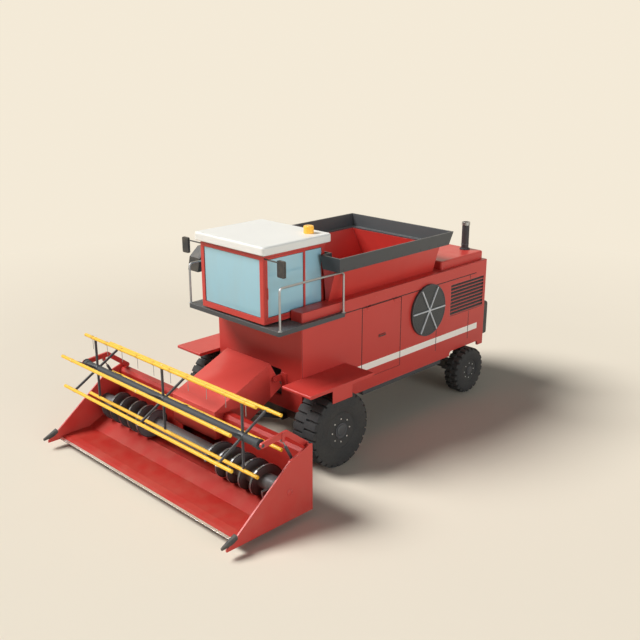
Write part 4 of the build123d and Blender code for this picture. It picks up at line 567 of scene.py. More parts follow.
@dataclass(frozen=True)
class Lens(Finish):
    """A moulded warning lens with upright ribs inside it, with faint painted light that brightens its amber.
    """

    colour: Colour
    centre: Point
    ribs: int = 36
    painted_glow: float = 0.22

    def inputs(self, graph: Graph) -> Inputs:
        """Ribbed clear plastic.

        Args:
            graph: The material's empty graph.

        Returns:
            The Principled shader's inputs.
        """
        x, y, _ = graph.split(graph.place())
        angle = graph.node("ShaderNodeMath", {"operation": "ARCTAN2"},
                           {0: y - self.centre[1], 1: x - self.centre[0]})
        rib = angle.wave(tau / self.ribs) * 0.5 + 0.5
        shade = graph.mix(rib * 0.35, self.colour, mixed(self.colour, seen(0.85, 0.4, 0.02), 0.7))
        # painted light: faint emission that brightens the amber, though the beacon is not lit
        return {"Base Color": shade, "Roughness": 0.14 + rib * 0.08, "Emission Color": shade,
                "Emission Strength": self.painted_glow, "Normal": graph.bump(rib, 0.0015, graph.rounded(0.01))}


@dataclass(frozen=True)
class Glass(Finish):
    """Tinted safety glass with a sun film: pale blue and nearly closed to the eye, clearer at its foot and
    paler towards its top as a painted reflection.
    """

    colour: Colour
    low: float
    high: float

    def inputs(self, graph: Graph) -> Inputs:
        """Film-tinted glass with faint wiping marks.

        Args:
            graph: The material's empty graph.

        Returns:
            The Principled shader's inputs.
        """
        _, _, height = graph.split(graph.place())
        up = height.between(self.low, self.high)
        smear = graph.grain(0.3, 4.0, (1.0, 1.0, 3.0)).between(0.45, 0.75)
        # paler towards the top: a painted reflection
        shade = graph.mix(up * 0.35, self.colour, mixed(self.colour, WHITE, 0.25))
        return {"Base Color": graph.mix(smear * 0.10, shade, DUST), "Roughness": 0.05 + smear * 0.08,
                "Alpha": up * 0.06 + 0.88, "Coat Weight": 0.6, "Coat Roughness": 0.03}


@dataclass(frozen=True)
class Cloth(Finish):
    """Plain woven seat cloth, with its threads as bump and colour."""

    colour: Colour
    thread: float

    def inputs(self, graph: Graph) -> Inputs:
        """Threads over and under each other, fuzzy from use.

        Args:
            graph: The material's empty graph.

        Returns:
            The Principled shader's inputs.
        """
        x, y, z = graph.split(graph.place())
        threads = y.wave(2 * self.thread) * (x + z).wave(2 * self.thread) * 0.5 + 0.5
        fuzz = graph.grain(0.02, 5.0)
        shade = graph.mix(threads * 0.35, self.colour, mixed(self.colour, WHITE, 0.18))
        shade = graph.mix(fuzz.between(0.5, 0.8) * 0.3, shade, mixed(self.colour, BLACK, 0.5))
        return {"Base Color": shade, "Roughness": 0.85 + (fuzz - 0.5) * 0.2, "Sheen Weight": 0.3,
                "Sheen Roughness": 0.5, "Normal": graph.bump(threads, self.thread * 0.3)}


@dataclass(frozen=True)
class ChequerPaint(Finish):
    """Dark paint on chequer plate: raised lozenges on the top face only."""

    colour: Colour
    top: float
    pitch: float = 0.034

    def inputs(self, graph: Graph) -> Inputs:
        """Lozenges that lie both ways in turn, worn bare on their tops, with the plate's edges lightened as
        wear and a painted highlight.

        Args:
            graph: The material's empty graph.

        Returns:
            The Principled shader's inputs.
        """
        x, y, z = graph.split(graph.place())
        on_top = z > self.top - 0.004
        narrow, wide = self.pitch, 3 * self.pitch
        one = (x + y).wave(narrow).between(0.55, 0.95) * (x - y).wave(wide).between(0.1, 0.6)
        other = (x - y).wave(narrow).between(0.55, 0.95) * (-(x + y).wave(wide)).between(0.1, 0.6)
        raised = (one + other) * on_top
        shade = graph.mix(raised * 0.30, self.colour, seen(0.55, 0.55, 0.56))
        shade = graph.mix(graph.grain(0.4, 4.0).between(0.42, 0.7) * 0.12 * on_top, shade, DUST)
        # edges lightened towards pale steel: wear and a painted highlight
        shade = graph.mix(graph.edges(0.010) * 0.45, shade, seen(0.62, 0.63, 0.64))
        return {"Base Color": shade, "Roughness": 0.48 - raised * 0.12,
                "Normal": graph.bump(raised, 0.002, graph.rounded(0.010))}


RED = seen(0.79, 0.245, 0.215)
# dark red: sealer along the panels' joints, and painted shade in the seams' grooves and the doors' gaps
DEEP_RED = seen(0.30, 0.085, 0.075)
DARK = seen(0.265, 0.275, 0.285)
RED_PAINT = Paint("red paint", RED)
# a lighter copy of the red paint for the feeder and its hood: painted light
LIT_FEEDER_PAINT = Paint("lit feeder red paint", seen(0.865, 0.31, 0.275))
# a darker copy of the red paint for the header's frame: painted shade
SHADED_HEADER_PAINT = Paint("shaded header red paint", seen(0.72, 0.185, 0.155), roughness=0.36, coat=0.0,
                     specular=0.26)
DARK_PAINT = Paint("dark grey paint", DARK, roughness=0.42, edge_wear_and_highlight=0.22)
TUBE_PAINT = Paint("reel tube paint", DARK, roughness=0.55, coat=0.0, specular=0.2, edge_wear_and_highlight=0.12)
YELLOW_PAINT = Paint("yellow paint", seen(0.98, 0.76, 0.20), roughness=0.34, dust=0.08)
WHITE_PAINT = Paint("white roof paint", seen(0.93, 0.925, 0.90), roughness=0.4, mottle=0.03, edge_wear_and_highlight=0.5)
CASTING = Casting("dark casting", seen(0.20, 0.20, 0.205))
PALE_STEEL = Steel("galvanised tube", seen(0.65, 0.66, 0.67), roughness=0.38, brushed=(1.0, 1.0, 1.0))
BOLT_STEEL = Steel("zinc-plated bolts", seen(0.90, 0.90, 0.89), roughness=0.42)
KNIFE_STEEL = Steel("knife steel", seen(0.96, 0.96, 0.95), roughness=0.30, brushed=(1.0, 10.0, 1.0),
                    stain=0.02)
WORN_STEEL = Steel("grain-polished steel", seen(0.66, 0.65, 0.63), roughness=0.34)
MIRROR_GLASS = Steel("mirror glass", seen(0.86, 0.88, 0.90), roughness=0.06, stain=0.0)
CHROME = Chrome("rod chrome", seen(0.66, 0.67, 0.69), seen(0.55, 0.52, 0.48))
BLACK_PLASTIC = Plastic("black moulded plastic", seen(0.17, 0.175, 0.18))
SEAL_RUBBER = Plastic("window seal rubber", seen(0.13, 0.13, 0.13), roughness=0.7)
TYRE_RUBBER = Rubber("tyre rubber", seen(0.168, 0.170, 0.174), dust=0.02)
SEAT_CLOTH = Cloth("seat cloth", seen(0.24, 0.245, 0.26), 0.003)


def dress(finish: Finish, *nodes: str) -> None:
    """Gives CAD nodes a finish through their objects' material slots.

    Args:
        finish: The finish.
        nodes: The nodes that get it.
    """
    for node in nodes:
        for slot in frame["nodes"][node].material_slots:
            slot.material = finish.material()


# ---- Meshes ----
def circle(centre: Vector, direction: Vector, radius: float, steps: int, phase: float = 0.0) -> list[Vector]:
    """Points round a circle.

    Args:
        centre: Its middle.
        direction: The way that it faces.
        radius: Its radius.
        steps: How many points go round.
        phase: The first point's angle.

    Returns:
        The points in order.
    """
    turn = direction.to_track_quat("Z", "Y").to_matrix()
    angles = [phase + tau * index / steps for index in range(steps)]
    return [centre + turn @ Vector((radius * cos(angle), radius * sin(angle), 0.0)) for angle in angles]


class Shape:
    """A mesh that is made face by face in the machine's frame, in one or more finishes."""

    def __init__(self, name: str, finish: Finish) -> None:
        """Starts an empty mesh.

        Args:
            name: The piece's name.
            finish: The finish of its first faces.
        """
        self.name = name
        self.mesh = bmesh.new()
        self.finishes = [finish]
        self.current = 0

    def use(self, finish: Finish) -> None:
        """Makes the faces that follow in another finish.

        Args:
            finish: The finish.
        """
        if finish not in self.finishes:
            self.finishes.append(finish)
        self.current = self.finishes.index(finish)

    def face(self, points: Sequence[bmesh.types.BMVert]) -> None:
        """Adds one face in the current finish."""
        self.mesh.faces.new(points).material_index = self.current

    def skin(self, rings: Sequence[Sequence[Vector]], closed: bool = False) -> None:
        """Joins loops of points, each to the next.

        Args:
            rings: Loops with the same number of points.
            closed: Whether the last loop joins the first; both are filled otherwise.
        """
        made = [[self.mesh.verts.new(point) for point in ring] for ring in rings]
        count = len(made[0])
        pairs = list(zip(made, made[1:])) + ([(made[-1], made[0])] if closed else [])
        for low, high in pairs:
            for i in range(count):
                self.face((low[i], low[(i + 1) % count], high[(i + 1) % count], high[i]))
        if not closed:
            self.face(made[0][::-1])
            self.face(made[-1])

    def prism(self, outline: Sequence[Vector], run: Vector) -> None:
        """Extrudes a flat outline along run."""
        self.skin([outline, [point + run for point in outline]])

    def box(self, low: Sequence[float], high: Sequence[float]) -> None:
        """A block between two corners."""
        corners = [(low[0], low[1]), (high[0], low[1]), (high[0], high[1]), (low[0], high[1])]
        self.prism([Vector((x, y, low[2])) for x, y in corners], Vector((0.0, 0.0, high[2] - low[2])))

    def lathe(self, centre: Vector, direction: Vector, profile: Sequence[Range], steps: int,
              closed: bool = False) -> None:
        """Turns a profile round a line.

        Args:
            centre: A point on the line.
            direction: The way that the line runs.
            profile: Distance along the line and radius of each of the profile's points.
            steps: How many faces go round.
            closed: Whether the profile's last point joins its first.
        """
        line = direction.normalized()
        self.skin([circle(centre + line * along, line, radius, steps) for along, radius in profile], closed)

    def rod(self, start: Vector, end: Vector, radius: float, steps: int = 12) -> None:
        """A round bar between two points."""
        self.lathe(start, end - start, [(0.0, radius), ((end - start).length, radius)], steps)

    def pipe(self, route: Sequence[Vector], radius: float, steps: int = 10) -> None:
        """A round tube through a few points, mitred at each.

        Args:
            route: The points.
            radius: The tube's radius.
            steps: How many faces go round.
        """
        ways = [(b - a).normalized() for a, b in zip(route, route[1:])]
        turns = [ways[0]] + [(a + b).normalized() for a, b in zip(ways, ways[1:])] + [ways[-1]]
        side = turns[0].orthogonal().normalized()
        rings = []
        for point, way in zip(route, turns):
            side = (side - way * side.dot(way)).normalized()
            other = way.cross(side)
            rings.append([point + (side * cos(tau * i / steps) + other * sin(tau * i / steps)) * radius
                          for i in range(steps)])
        self.skin(rings)

    def bolt(self, seat: Vector, direction: Vector, size: float) -> None:
        """A hexagon bolt head on its washer.

        Args:
            seat: The middle of its washer's foot.
            direction: The way that it stands out.
            size: The head's radius over its corners.
        """
        way = direction.normalized()
        washer = [(0.0, 1.25), (0.16, 1.25), (0.22, 1.15)]
        self.lathe(seat, way, [(along * size, radius * size) for along, radius in washer], 14)
        head = [(0.22, 1.0), (0.75, 1.0), (0.85, 0.86)]
        self.skin([circle(seat + way * along * size, way, radius * size, 6) for along, radius in head])

    def rivet(self, seat: Vector, direction: Vector, size: float) -> None:
        """A low round rivet or screw head."""
        self.lathe(seat, direction, [(0.0, size), (0.25 * size, 0.92 * size), (0.45 * size, 0.55 * size)], 10)

    def place(self, body: str, slot: str, bevel: float = 0.0, sharp: float = 35.0) -> bpy.types.Object:
        """Turns the mesh into a piece of the machine.

        Args:
            body: The CAD body that the piece moves with.
            slot: Not used.
            bevel: Width of the bevel on its edges, or 0 for none.
            sharp: Edges that turn by more degrees than this stay sharp.

        Returns:
            The finished piece.
        """
        bmesh.ops.recalc_face_normals(self.mesh, faces=self.mesh.faces)
        data = bpy.data.meshes.new(self.name)
        self.mesh.to_mesh(data)
        self.mesh.free()
        for finish in self.finishes:
            data.materials.append(finish.material())
        data.shade_smooth()
        data.set_sharp_from_angle(angle=radians(sharp))
        piece = bpy.data.objects.new(self.name, data)
        bpy.context.scene.collection.objects.link(piece)
        if bevel:
            edges = piece.modifiers.new("rounded edges", "BEVEL")
            edges.width = bevel
            edges.segments = 2
            edges.limit_method = "ANGLE"
            edges.angle_limit = radians(40.0)
            edges.harden_normals = True
        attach(piece, body)
        LOG.info("%s rides on %s with %d faces", self.name, body, len(data.polygons))
        return piece


def bolt_places(centre: Vector, direction: Vector, radius: float, count: int) -> list[Vector]:
    """Evenly spaced places round a bolt circle."""
    return circle(centre, direction, radius, count, pi / count)


def joint(name: str) -> dict:
    """The record's joint of that name."""
    return next(entry for entry in frame["joints"] if entry["name"] == name)


def corners_of(node: str) -> list[Vector]:
    """Every corner of a CAD node's mesh, in the machine's frame."""
    return [vert.co.copy() for vert in frame["nodes"][node].data.vertices]


def span_of(points: Sequence[Vector]) -> Span:
    """The low and high corners of the box round some points."""
    return tuple(Vector([edge(point[axis] for point in points) for axis in range(3)]) for edge in (min, max))


def half(node: str, side: Side) -> Span:
    """The box of what a two-sided node has on one side."""
    return span_of([point for point in corners_of(node) if point.y * side.value > 0])


def half_frame() -> float:
    """Half the width of the under-frame; the body's side walls are flush with it."""
    low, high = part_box("chassis_frame")
    return (high.y - low.y) / 2


def loose_boxes(node: str) -> list[Span]:
    """Finds the separate solids in a CAD node.

    Args:
        node: The node's name.

    Returns:
        The box round each solid, sorted by its low corner.
    """
    mesh = bmesh.new()
    mesh.from_mesh(frame["nodes"][node].data)
    bmesh.ops.remove_doubles(mesh, verts=mesh.verts, dist=1e-5)
    boxes = []
    left = set(mesh.verts)
    while left:
        island, queue = [], [left.pop()]
        while queue:
            vert = queue.pop()
            island.append(vert.co.copy())
            for edge in vert.link_edges:
                other = edge.other_vert(vert)
                if other in left:
                    left.discard(other)
                    queue.append(other)
        boxes.append(span_of(island))
    mesh.free()
    return sorted(boxes, key=lambda pair: tuple(round(c, 4) for c in (*pair[0], *pair[1])))


# ---- Wheels ----
@dataclass
class Wheel:
    """One wheel: a lugged tyre that stands for the CAD ring, and the bolts, cap and valve on its disc."""

    corner: str
    lugs: int
    lug_height: float
    hub_radius: float
    bolt_circle: float
    bolt_size: float
    lug_share: float = 0.86  # of the pitch from one lug to the next
    lug_taper: float = 0.10  # of its width, from foot to top
    lug_overlap: float = 0.02  # past the tread's middle
    bolts: int = 8
    bolt_depth: float = 0.018  # of the bolts' seat under the disc's outermost face
    valve_height: float = 0.86  # of the rim's radius
    sides: int = 96

    def __post_init__(self) -> None:
        """Reads the wheel's place and size from the frame."""
        place = joint(f"{self.corner}_wheel_spin")["pos_m"]
        low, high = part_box(f"{self.corner}_tyre")
        rim_low, rim_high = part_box(f"{self.corner}_rim")
        self.side = Side.LEFT if place[1] > 0 else Side.RIGHT
        self.centre = Vector((place[0], 0.0, place[2]))
        self.radius = (high.z - low.z) / 2
        self.crown = self.radius - self.lug_height
        self.inner, self.outer = sorted((abs(low.y), abs(high.y)))
        self.rim_radius = (rim_high.z - rim_low.z) / 2
        self.disc = max(abs(rim_low.y), abs(rim_high.y))
        self.body = f"{self.corner}_wheel"

    def point(self, along: float, radius: float, angle: float) -> Vector:
        """A point that lies along out from the machine's middle, at an angle from the wheel's top."""
        return self.centre + Vector((radius * sin(angle), self.side.value * along, radius * cos(angle)))

    def build_tyre(self) -> None:
        """Makes the carcass with its bead and sidewall rings, and two staggered rows of broad lugs."""
        shape = Shape(f"{self.corner}_lugged_tyre", TYRE_RUBBER)
        bead = self.rim_radius
        wall = self.crown - bead
        half_profile = [(0.030, bead), (0.012, bead + 0.10 * wall), (0.013, bead + 0.14 * wall),
                        (0.004, bead + 0.22 * wall), (0.001, bead + 0.45 * wall), (0.003, bead + 0.70 * wall),
                        (0.010, bead + 0.86 * wall), (0.024, self.crown - 0.012), (0.052, self.crown)]
        outside = [(self.outer - inset, radius) for inset, radius in half_profile]
        inside = [(self.inner + inset, radius) for inset, radius in half_profile[::-1]]
        rings = [[self.point(along, radius, tau * i / self.sides) for i in range(self.sides)]
                 for along, radius in outside + inside]
        shape.skin(rings, closed=True)
        pitch = tau / self.lugs
        for row, edge in ((0, self.outer), (1, self.inner)):
            for index in range(self.lugs):
                self.add_lug(shape, edge, (index + 0.5 * row) * pitch, pitch)
        tyre = shape.place(self.body, "tyre_rubber", bevel=0.006, sharp=32.0)
        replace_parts(tyre, f"{self.corner}_tyre")

    def add_lug(self, shape: Shape, edge: float, angle: float, pitch: float) -> None:
        """One broad lug from the tread's middle out over the shoulder.

        Args:
            shape: The tyre's mesh.
            edge: The sidewall that it reaches, out from the machine's middle.
            angle: Where it stands round the wheel.
            pitch: The angle from one lug to the next.
        """
        middle = (self.inner + self.outer) / 2
        out = 1.0 if edge > middle else -1.0
        crown = self.crown
        section = [(middle - out * self.lug_overlap, crown - 0.012),
                   (middle - out * self.lug_overlap * 0.7, self.radius - 0.003),
                   (edge - out * 0.062, self.radius - 0.0015), (edge - out * 0.034, self.radius - 0.010),
                   (edge - out * 0.024, crown + 0.004), (edge - out * 0.030, crown - 0.030),
                   (edge - out * 0.060, crown - 0.030)]
        foot = self.lug_share * pitch / 2
        top = foot * (1.0 - self.lug_taper)
        shape.skin([[self.point(along, radius, angle + step * (top if radius > crown else foot))
                     for along, radius in section] for step in spread(-1.0, 1.0, 5)])

    def build_hardware(self) -> None:
        """Makes the hub cap, the wheel bolts and the valve on the disc."""
        shape = Shape(f"{self.corner}_wheel_hardware", DARK_PAINT)
        way = self.side.way
        seat = self.centre + way * (self.disc - self.bolt_depth)
        cap = self.hub_radius
        shape.lathe(self.centre + way * self.disc, way,
                    [(-0.01, 0.78 * cap), (0.010, 0.78 * cap), (0.016, 0.72 * cap), (0.016, 0.30 * cap)], 40)
        shape.use(BOLT_STEEL)
        for place in circle(seat, way, self.bolt_circle, self.bolts):
            shape.bolt(place, way, self.bolt_size)
        shape.use(SEAL_RUBBER)
        valve = seat + UP * (self.valve_height * self.rim_radius)
        shape.rod(valve - way * 0.01, valve + way * 0.012, 0.007)
        shape.place(self.body, "dark_paint")

    def build(self) -> None:
        """Makes the wheel's pieces and paints its rim."""
        hub = RadiusMark(self.centre.x, self.centre.z, -1.0, self.hub_radius, seen(0.29, 0.295, 0.31), 0.45)
        paint = Paint(f"{self.corner} wheel paint", seen(0.19, 0.193, 0.197), roughness=0.6, coat=0.0,
                      dust=0.04, edge_wear_and_highlight=0.05, marks=(hub,))
        dress(paint, f"{self.corner}_rim")
        self.build_tyre()
        self.build_hardware()


# ---- Body sides ----
@dataclass
class BodySides:
    """The body's painted sides with their stripe, joints and screws, and the service doors' handles."""

    stripe_low: float = 0.422  # over the body's lower edge
    stripe_high: float = 0.562
    stripe_rear: float = 0.275  # from the body's rear wall to the stripe's rear end
    skin: float = 0.003  # how far under the side's face a mark on it starts
    seam_depth: Range = (0.0065, 0.0035)  # under the side's face, from deep to shallow: the floors of the seams' grooves, painted dark as shade
    door_gap_shade: float = 0.03  # how far past a service door its gap's painted shade reaches
    door_gap_shade_depth: Range = (0.2, 0.0015)
    joint: float = 0.011  # half the width of the sealer along a panel joint
    joint_front: float = 1.135  # from the body's front wall to the long joint's front end
    joint_rear: float = 0.394  # from the body's rear wall to its rear end
    upright_joints: tuple[float, ...] = (0.620, 1.785)
    door_gap: float = 0.004
    screw: float = 0.0075
    screw_pitch: float = 0.29
    inset: float = 0.035  # of the door's screws
    upper_row: Point = (0.12, 0.6, 0.11)  # screws: in from the rear wall, short of the fender, under the top
    lower_row: Point = (1.35, 0.1, 0.06)  # the same for the row over the lower edge
    handle_drop: float = 0.687  # from the door's top
    # the grip's bends, along the door and out from its face
    grip: tuple[Range, ...] = ((-0.095, 0.006), (-0.085, 0.026), (0.085, 0.026), (0.095, 0.006))
    grip_radius: float = 0.010
    plate: Point = (0.105, 0.004, 0.030)  # half the plate's length, its thickness, half its height

    def __post_init__(self) -> None:
        """Reads the body, the fenders and a door from the frame."""
        self.low, self.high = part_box("body_housing")
        self.door_low, self.door_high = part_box("left_service_door")
        self.fender_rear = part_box("fenders")[0].x
        self.wall = half_frame()

    def paint(self) -> Paint:
        """Red paint with the pale stripe along both sides, dark sealer along the panel joints, and dark red
        as painted shade in the seams' grooves and in the gaps round the doors.

        Returns:
            The paint.
        """
        foot = self.low.z
        stripe = BoxMark((self.low.x + self.stripe_rear, self.wall - self.skin, foot + self.stripe_low),
                         (self.fender_rear, FAR, foot + self.stripe_high), seen(0.985, 0.945, 0.90),
                         mirrored=True)
        # painted shade: dark red on the floors of the seams' grooves
        seams = self.dark_mark((-FAR, FAR), (-FAR, FAR), self.seam_depth)
        # painted shade: dark red in the gap round each service door
        low, high, more = self.door_low, self.door_high, self.door_gap_shade
        door_gap_shade = self.dark_mark((low.x - more, high.x + more), (low.z - more, high.z + more),
                                self.door_gap_shade_depth)
        return Paint("striped red paint", RED, marks=(stripe, seams, door_gap_shade, *self.joints()))

    def dark_mark(self, x: Range, z: Range, depth: Range) -> BoxMark:
        """Dark red on both sides: painted shade in grooves and gaps, and sealer on the face.

        Args:
            x: Where it starts and ends along the machine.
            z: The same in height.
            depth: How far under the side's face it starts and ends.

        Returns:
            The mark.
        """
        deep, shallow = depth
        return BoxMark((x[0], self.wall - deep, z[0]), (x[1], self.wall - shallow, z[1]), DEEP_RED, 0.6,
                       mirrored=True)

    def joints(self) -> list[BoxMark]:
        """Dark sealer along the joints of the side's panels and the upright edges of its door.

        Returns:
            A mark for each joint.
        """
        low, high, wide = self.door_low, self.door_high, self.joint
        depth = (self.skin, -FAR)
        across = high.z + self.door_gap
        long = (self.low.x + self.joint_rear, self.high.x - self.joint_front)
        uprights = [self.low.x + place for place in self.upright_joints]
        uprights += [low.x - self.door_gap, high.x + self.door_gap]
        return [self.dark_mark(long, (across - wide, across + wide), depth)] + [
            self.dark_mark((x - wide, x + wide), (low.z, across), depth) for x in uprights]

    def add_screws(self, shape: Shape, side: Side, x: Range, z: Range) -> None:
        """A row of screws on a side's face.

        Args:
            shape: The screws' mesh.
            side: The side.
            x: The first and last one's place along the machine.
            z: The same in height.
        """
        start, end = (Vector((x[i], side.value * self.wall, z[i])) for i in range(2))
        gaps = max(1, round((end - start).length / self.screw_pitch))
        for index in range(gaps + 1):
            shape.rivet(start.lerp(end, index / gaps), side.way, self.screw)

    def build(self) -> None:
        """Dresses the body and makes its screws, throat pan and doors' trims."""
        dress(self.paint(), "body_housing", "left_service_door", "right_service_door")
        dress(BLACK_PLASTIC, "rear_panel")
        dress(CASTING, "engine", "threshing_housing")
        dress(DARK_PAINT, "chassis_frame")
        self.build_screws()
        self.build_throat_pan()
        for side in Side:
            self.build_door(side)

    def build_screws(self) -> None:
        """Rows of screws along the top and foot of both sides and beside the grilles."""
        low, high = half("side_grilles", Side.LEFT)
        shape = Shape("body_panel_screws", RED_PAINT)
        for side in Side:
            for (rear, short, _), z in ((self.upper_row, self.high.z - self.upper_row[2]),
                                        (self.lower_row, self.low.z + self.lower_row[2])):
                self.add_screws(shape, side, (self.low.x + rear, self.fender_rear - short), (z, z))
            for x in (self.low.x + 0.06, high.x + 0.06):
                self.add_screws(shape, side, (x, x), (low.z, high.z))
        shape.place("chassis", "red_paint")

    def build_throat_pan(self) -> None:
        """The stone-trap pan that closes the throat's foot, from the front wall to the threshing housing."""
        points = corners_of("threshing_housing")
        front = max(p.x for p in points)
        foot = min(p.z for p in points if p.x > front - 0.001)
        half_pan = max(p.y for p in points) - 0.03
        wall = self.high.x - 0.050
        lap = front - 0.02
        shape = Shape("throat_pan", CASTING)
        outline = [Vector((x, -half_pan, foot - drop)) for x, drop in
                   ((wall, 0.034), (lap, 0.010), (lap, 0.004), (front, 0.004), (wall, 0.026))]
        shape.prism(outline, Vector((0.0, 2 * half_pan, 0.0)))
        shape.place("chassis", "cast_drive")

    def build_door(self, side: Side) -> None:
        """Screws along the edges of one service door, and its handle: a plate with a bowed grip.

        Args:
            side: The door's side.
        """
        low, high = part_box(f"{side.word}_service_door")
        y = side.value * self.wall
        shape = Shape(f"{side.word}_door_trim", RED_PAINT)
        for z in (low.z + self.inset, high.z - 2.4 * self.inset):
            self.add_screws(shape, side, (low.x + self.inset, high.x - self.inset), (z, z))
        shape.use(BLACK_PLASTIC)
        middle = (low.x + high.x) / 2 - 0.008
        level = high.z - self.handle_drop
        shape.pipe([Vector((middle + along, y + side.value * out, level)) for along, out in self.grip],
                   self.grip_radius)
        length, thick, height = self.plate
        near, far = sorted((y, y + side.value * thick))
        shape.box((middle - length, near, level - height), (middle + length, far, level + height))
        shape.place(f"{side.word}_service_door", "red_paint")


# ---- Screen, grilles, hood and exhaust ----
@dataclass
class EngineBay:
    """The rotary screen, the louvred grilles, the engine hood, and the exhaust with its clamp."""

    rib_height: float = 0.0205
    slat_edge: float = 0.0055
    cap_height: float = 0.070
    flange_reach: float = 0.034  # how far the exhaust's foot flange stands out round its pipe
    clamp_height: float = 0.12  # over the exhaust's foot
    lug_half: Point = (0.012, 0.014, 0.012)  # half the size of the clamp's lug
    lip_depth: float = 0.022  # of the screen's face behind its outermost rib
    # rings of dark discs on its sheet, the painted shade of perforations: how many, and at which share of its
    # radius
    hole_shade_discs: tuple[tuple[int, float], ...] = ((60, 0.90), (48, 0.74), (36, 0.58), (24, 0.42), (14, 0.26))

    def build(self) -> None:
        """Dresses the bay's nodes and adds its small fittings."""
        end = (FAR, FAR, FAR)
        screen_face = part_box("rotary_screen")[1].y
        ribs = BoxMark((-FAR, screen_face - self.rib_height, -FAR), end, seen(0.76, 0.77, 0.78), 0.35)
        dress(Paint("screen paint", seen(0.24, 0.25, 0.255), roughness=0.5, marks=(ribs,)), "rotary_screen")
        slats = BoxMark((-FAR, half_frame() - self.slat_edge, -FAR), end, RED, 0.36, mirrored=True)
        sheet = seen(0.22, 0.22, 0.225)
        dress(Paint("grille paint", sheet, roughness=0.5, marks=(slats,)), "side_grilles")
        dress(RED_PAINT, "engine_hood")
        cap_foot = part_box("exhaust")[1].z - self.cap_height
        cap = BoxMark((-FAR, -FAR, cap_foot), end, seen(0.62, 0.62, 0.61), 0.35, 0.8)
        dress(Paint("exhaust paint", sheet, roughness=0.6, coat=0.0, marks=(cap,)), "exhaust")
        self.build_exhaust_clamp()
        self.build_screen_face()

    def build_exhaust_clamp(self) -> None:
        """A band clamp round the pipe, and the bolts through its foot flange."""
        low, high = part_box("exhaust")
        axis = Vector(((low.x + high.x) / 2, (low.y + high.y) / 2, low.z))
        pipe = (high.x - low.x) / 2 - self.flange_reach
        shape = Shape("exhaust_clamp", DARK_PAINT)
        band = axis + UP * self.clamp_height
        shape.lathe(band, UP, [(-0.014, pipe - 0.002), (-0.014, pipe + 0.004), (0.014, pipe + 0.004),
                               (0.014, pipe - 0.002)], 32)
        half_lug = Vector(self.lug_half)
        lug = band + FORWARD * (pipe + half_lug.x)
        shape.box(lug - half_lug, lug + half_lug)
        shape.bolt(lug + LEFTWARD * half_lug.y, LEFTWARD, 0.008)
        for seat in bolt_places(axis + UP * 0.022, UP, pipe + 0.018, 6):
            shape.bolt(seat, UP, 0.009)
        shape.place("chassis", "dark_paint")

    def build_screen_face(self) -> None:
        """A rolled lip round the rotary screen, and rings of dark discs on its sheet between the ribs, the
        painted shade of perforations.
        """
        low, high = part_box("rotary_screen")
        centre = Vector(((low.x + high.x) / 2, high.y - self.lip_depth, (low.z + high.z) / 2))
        radius = (high.x - low.x) / 2
        shape = Shape("screen_lip", DARK_PAINT)
        lip = [(-0.004, 0.004), (0.004, 0.006), (0.007, 0.014), (0.004, 0.022), (-0.004, 0.022)]
        shape.lathe(centre, LEFTWARD, [(along, radius - inset) for along, inset in lip], 96, closed=True)
        # dark discs stand for perforations in the sheet: painted shade
        shape.use(SEAL_RUBBER)
        for count, reach in self.hole_shade_discs:
            for seat in bolt_places(centre, LEFTWARD, reach * radius, count):
                shape.lathe(seat, LEFTWARD, [(0.0, 0.011), (0.0012, 0.0095)], 8)
        shape.place("rotary_screen", "dark_paint")


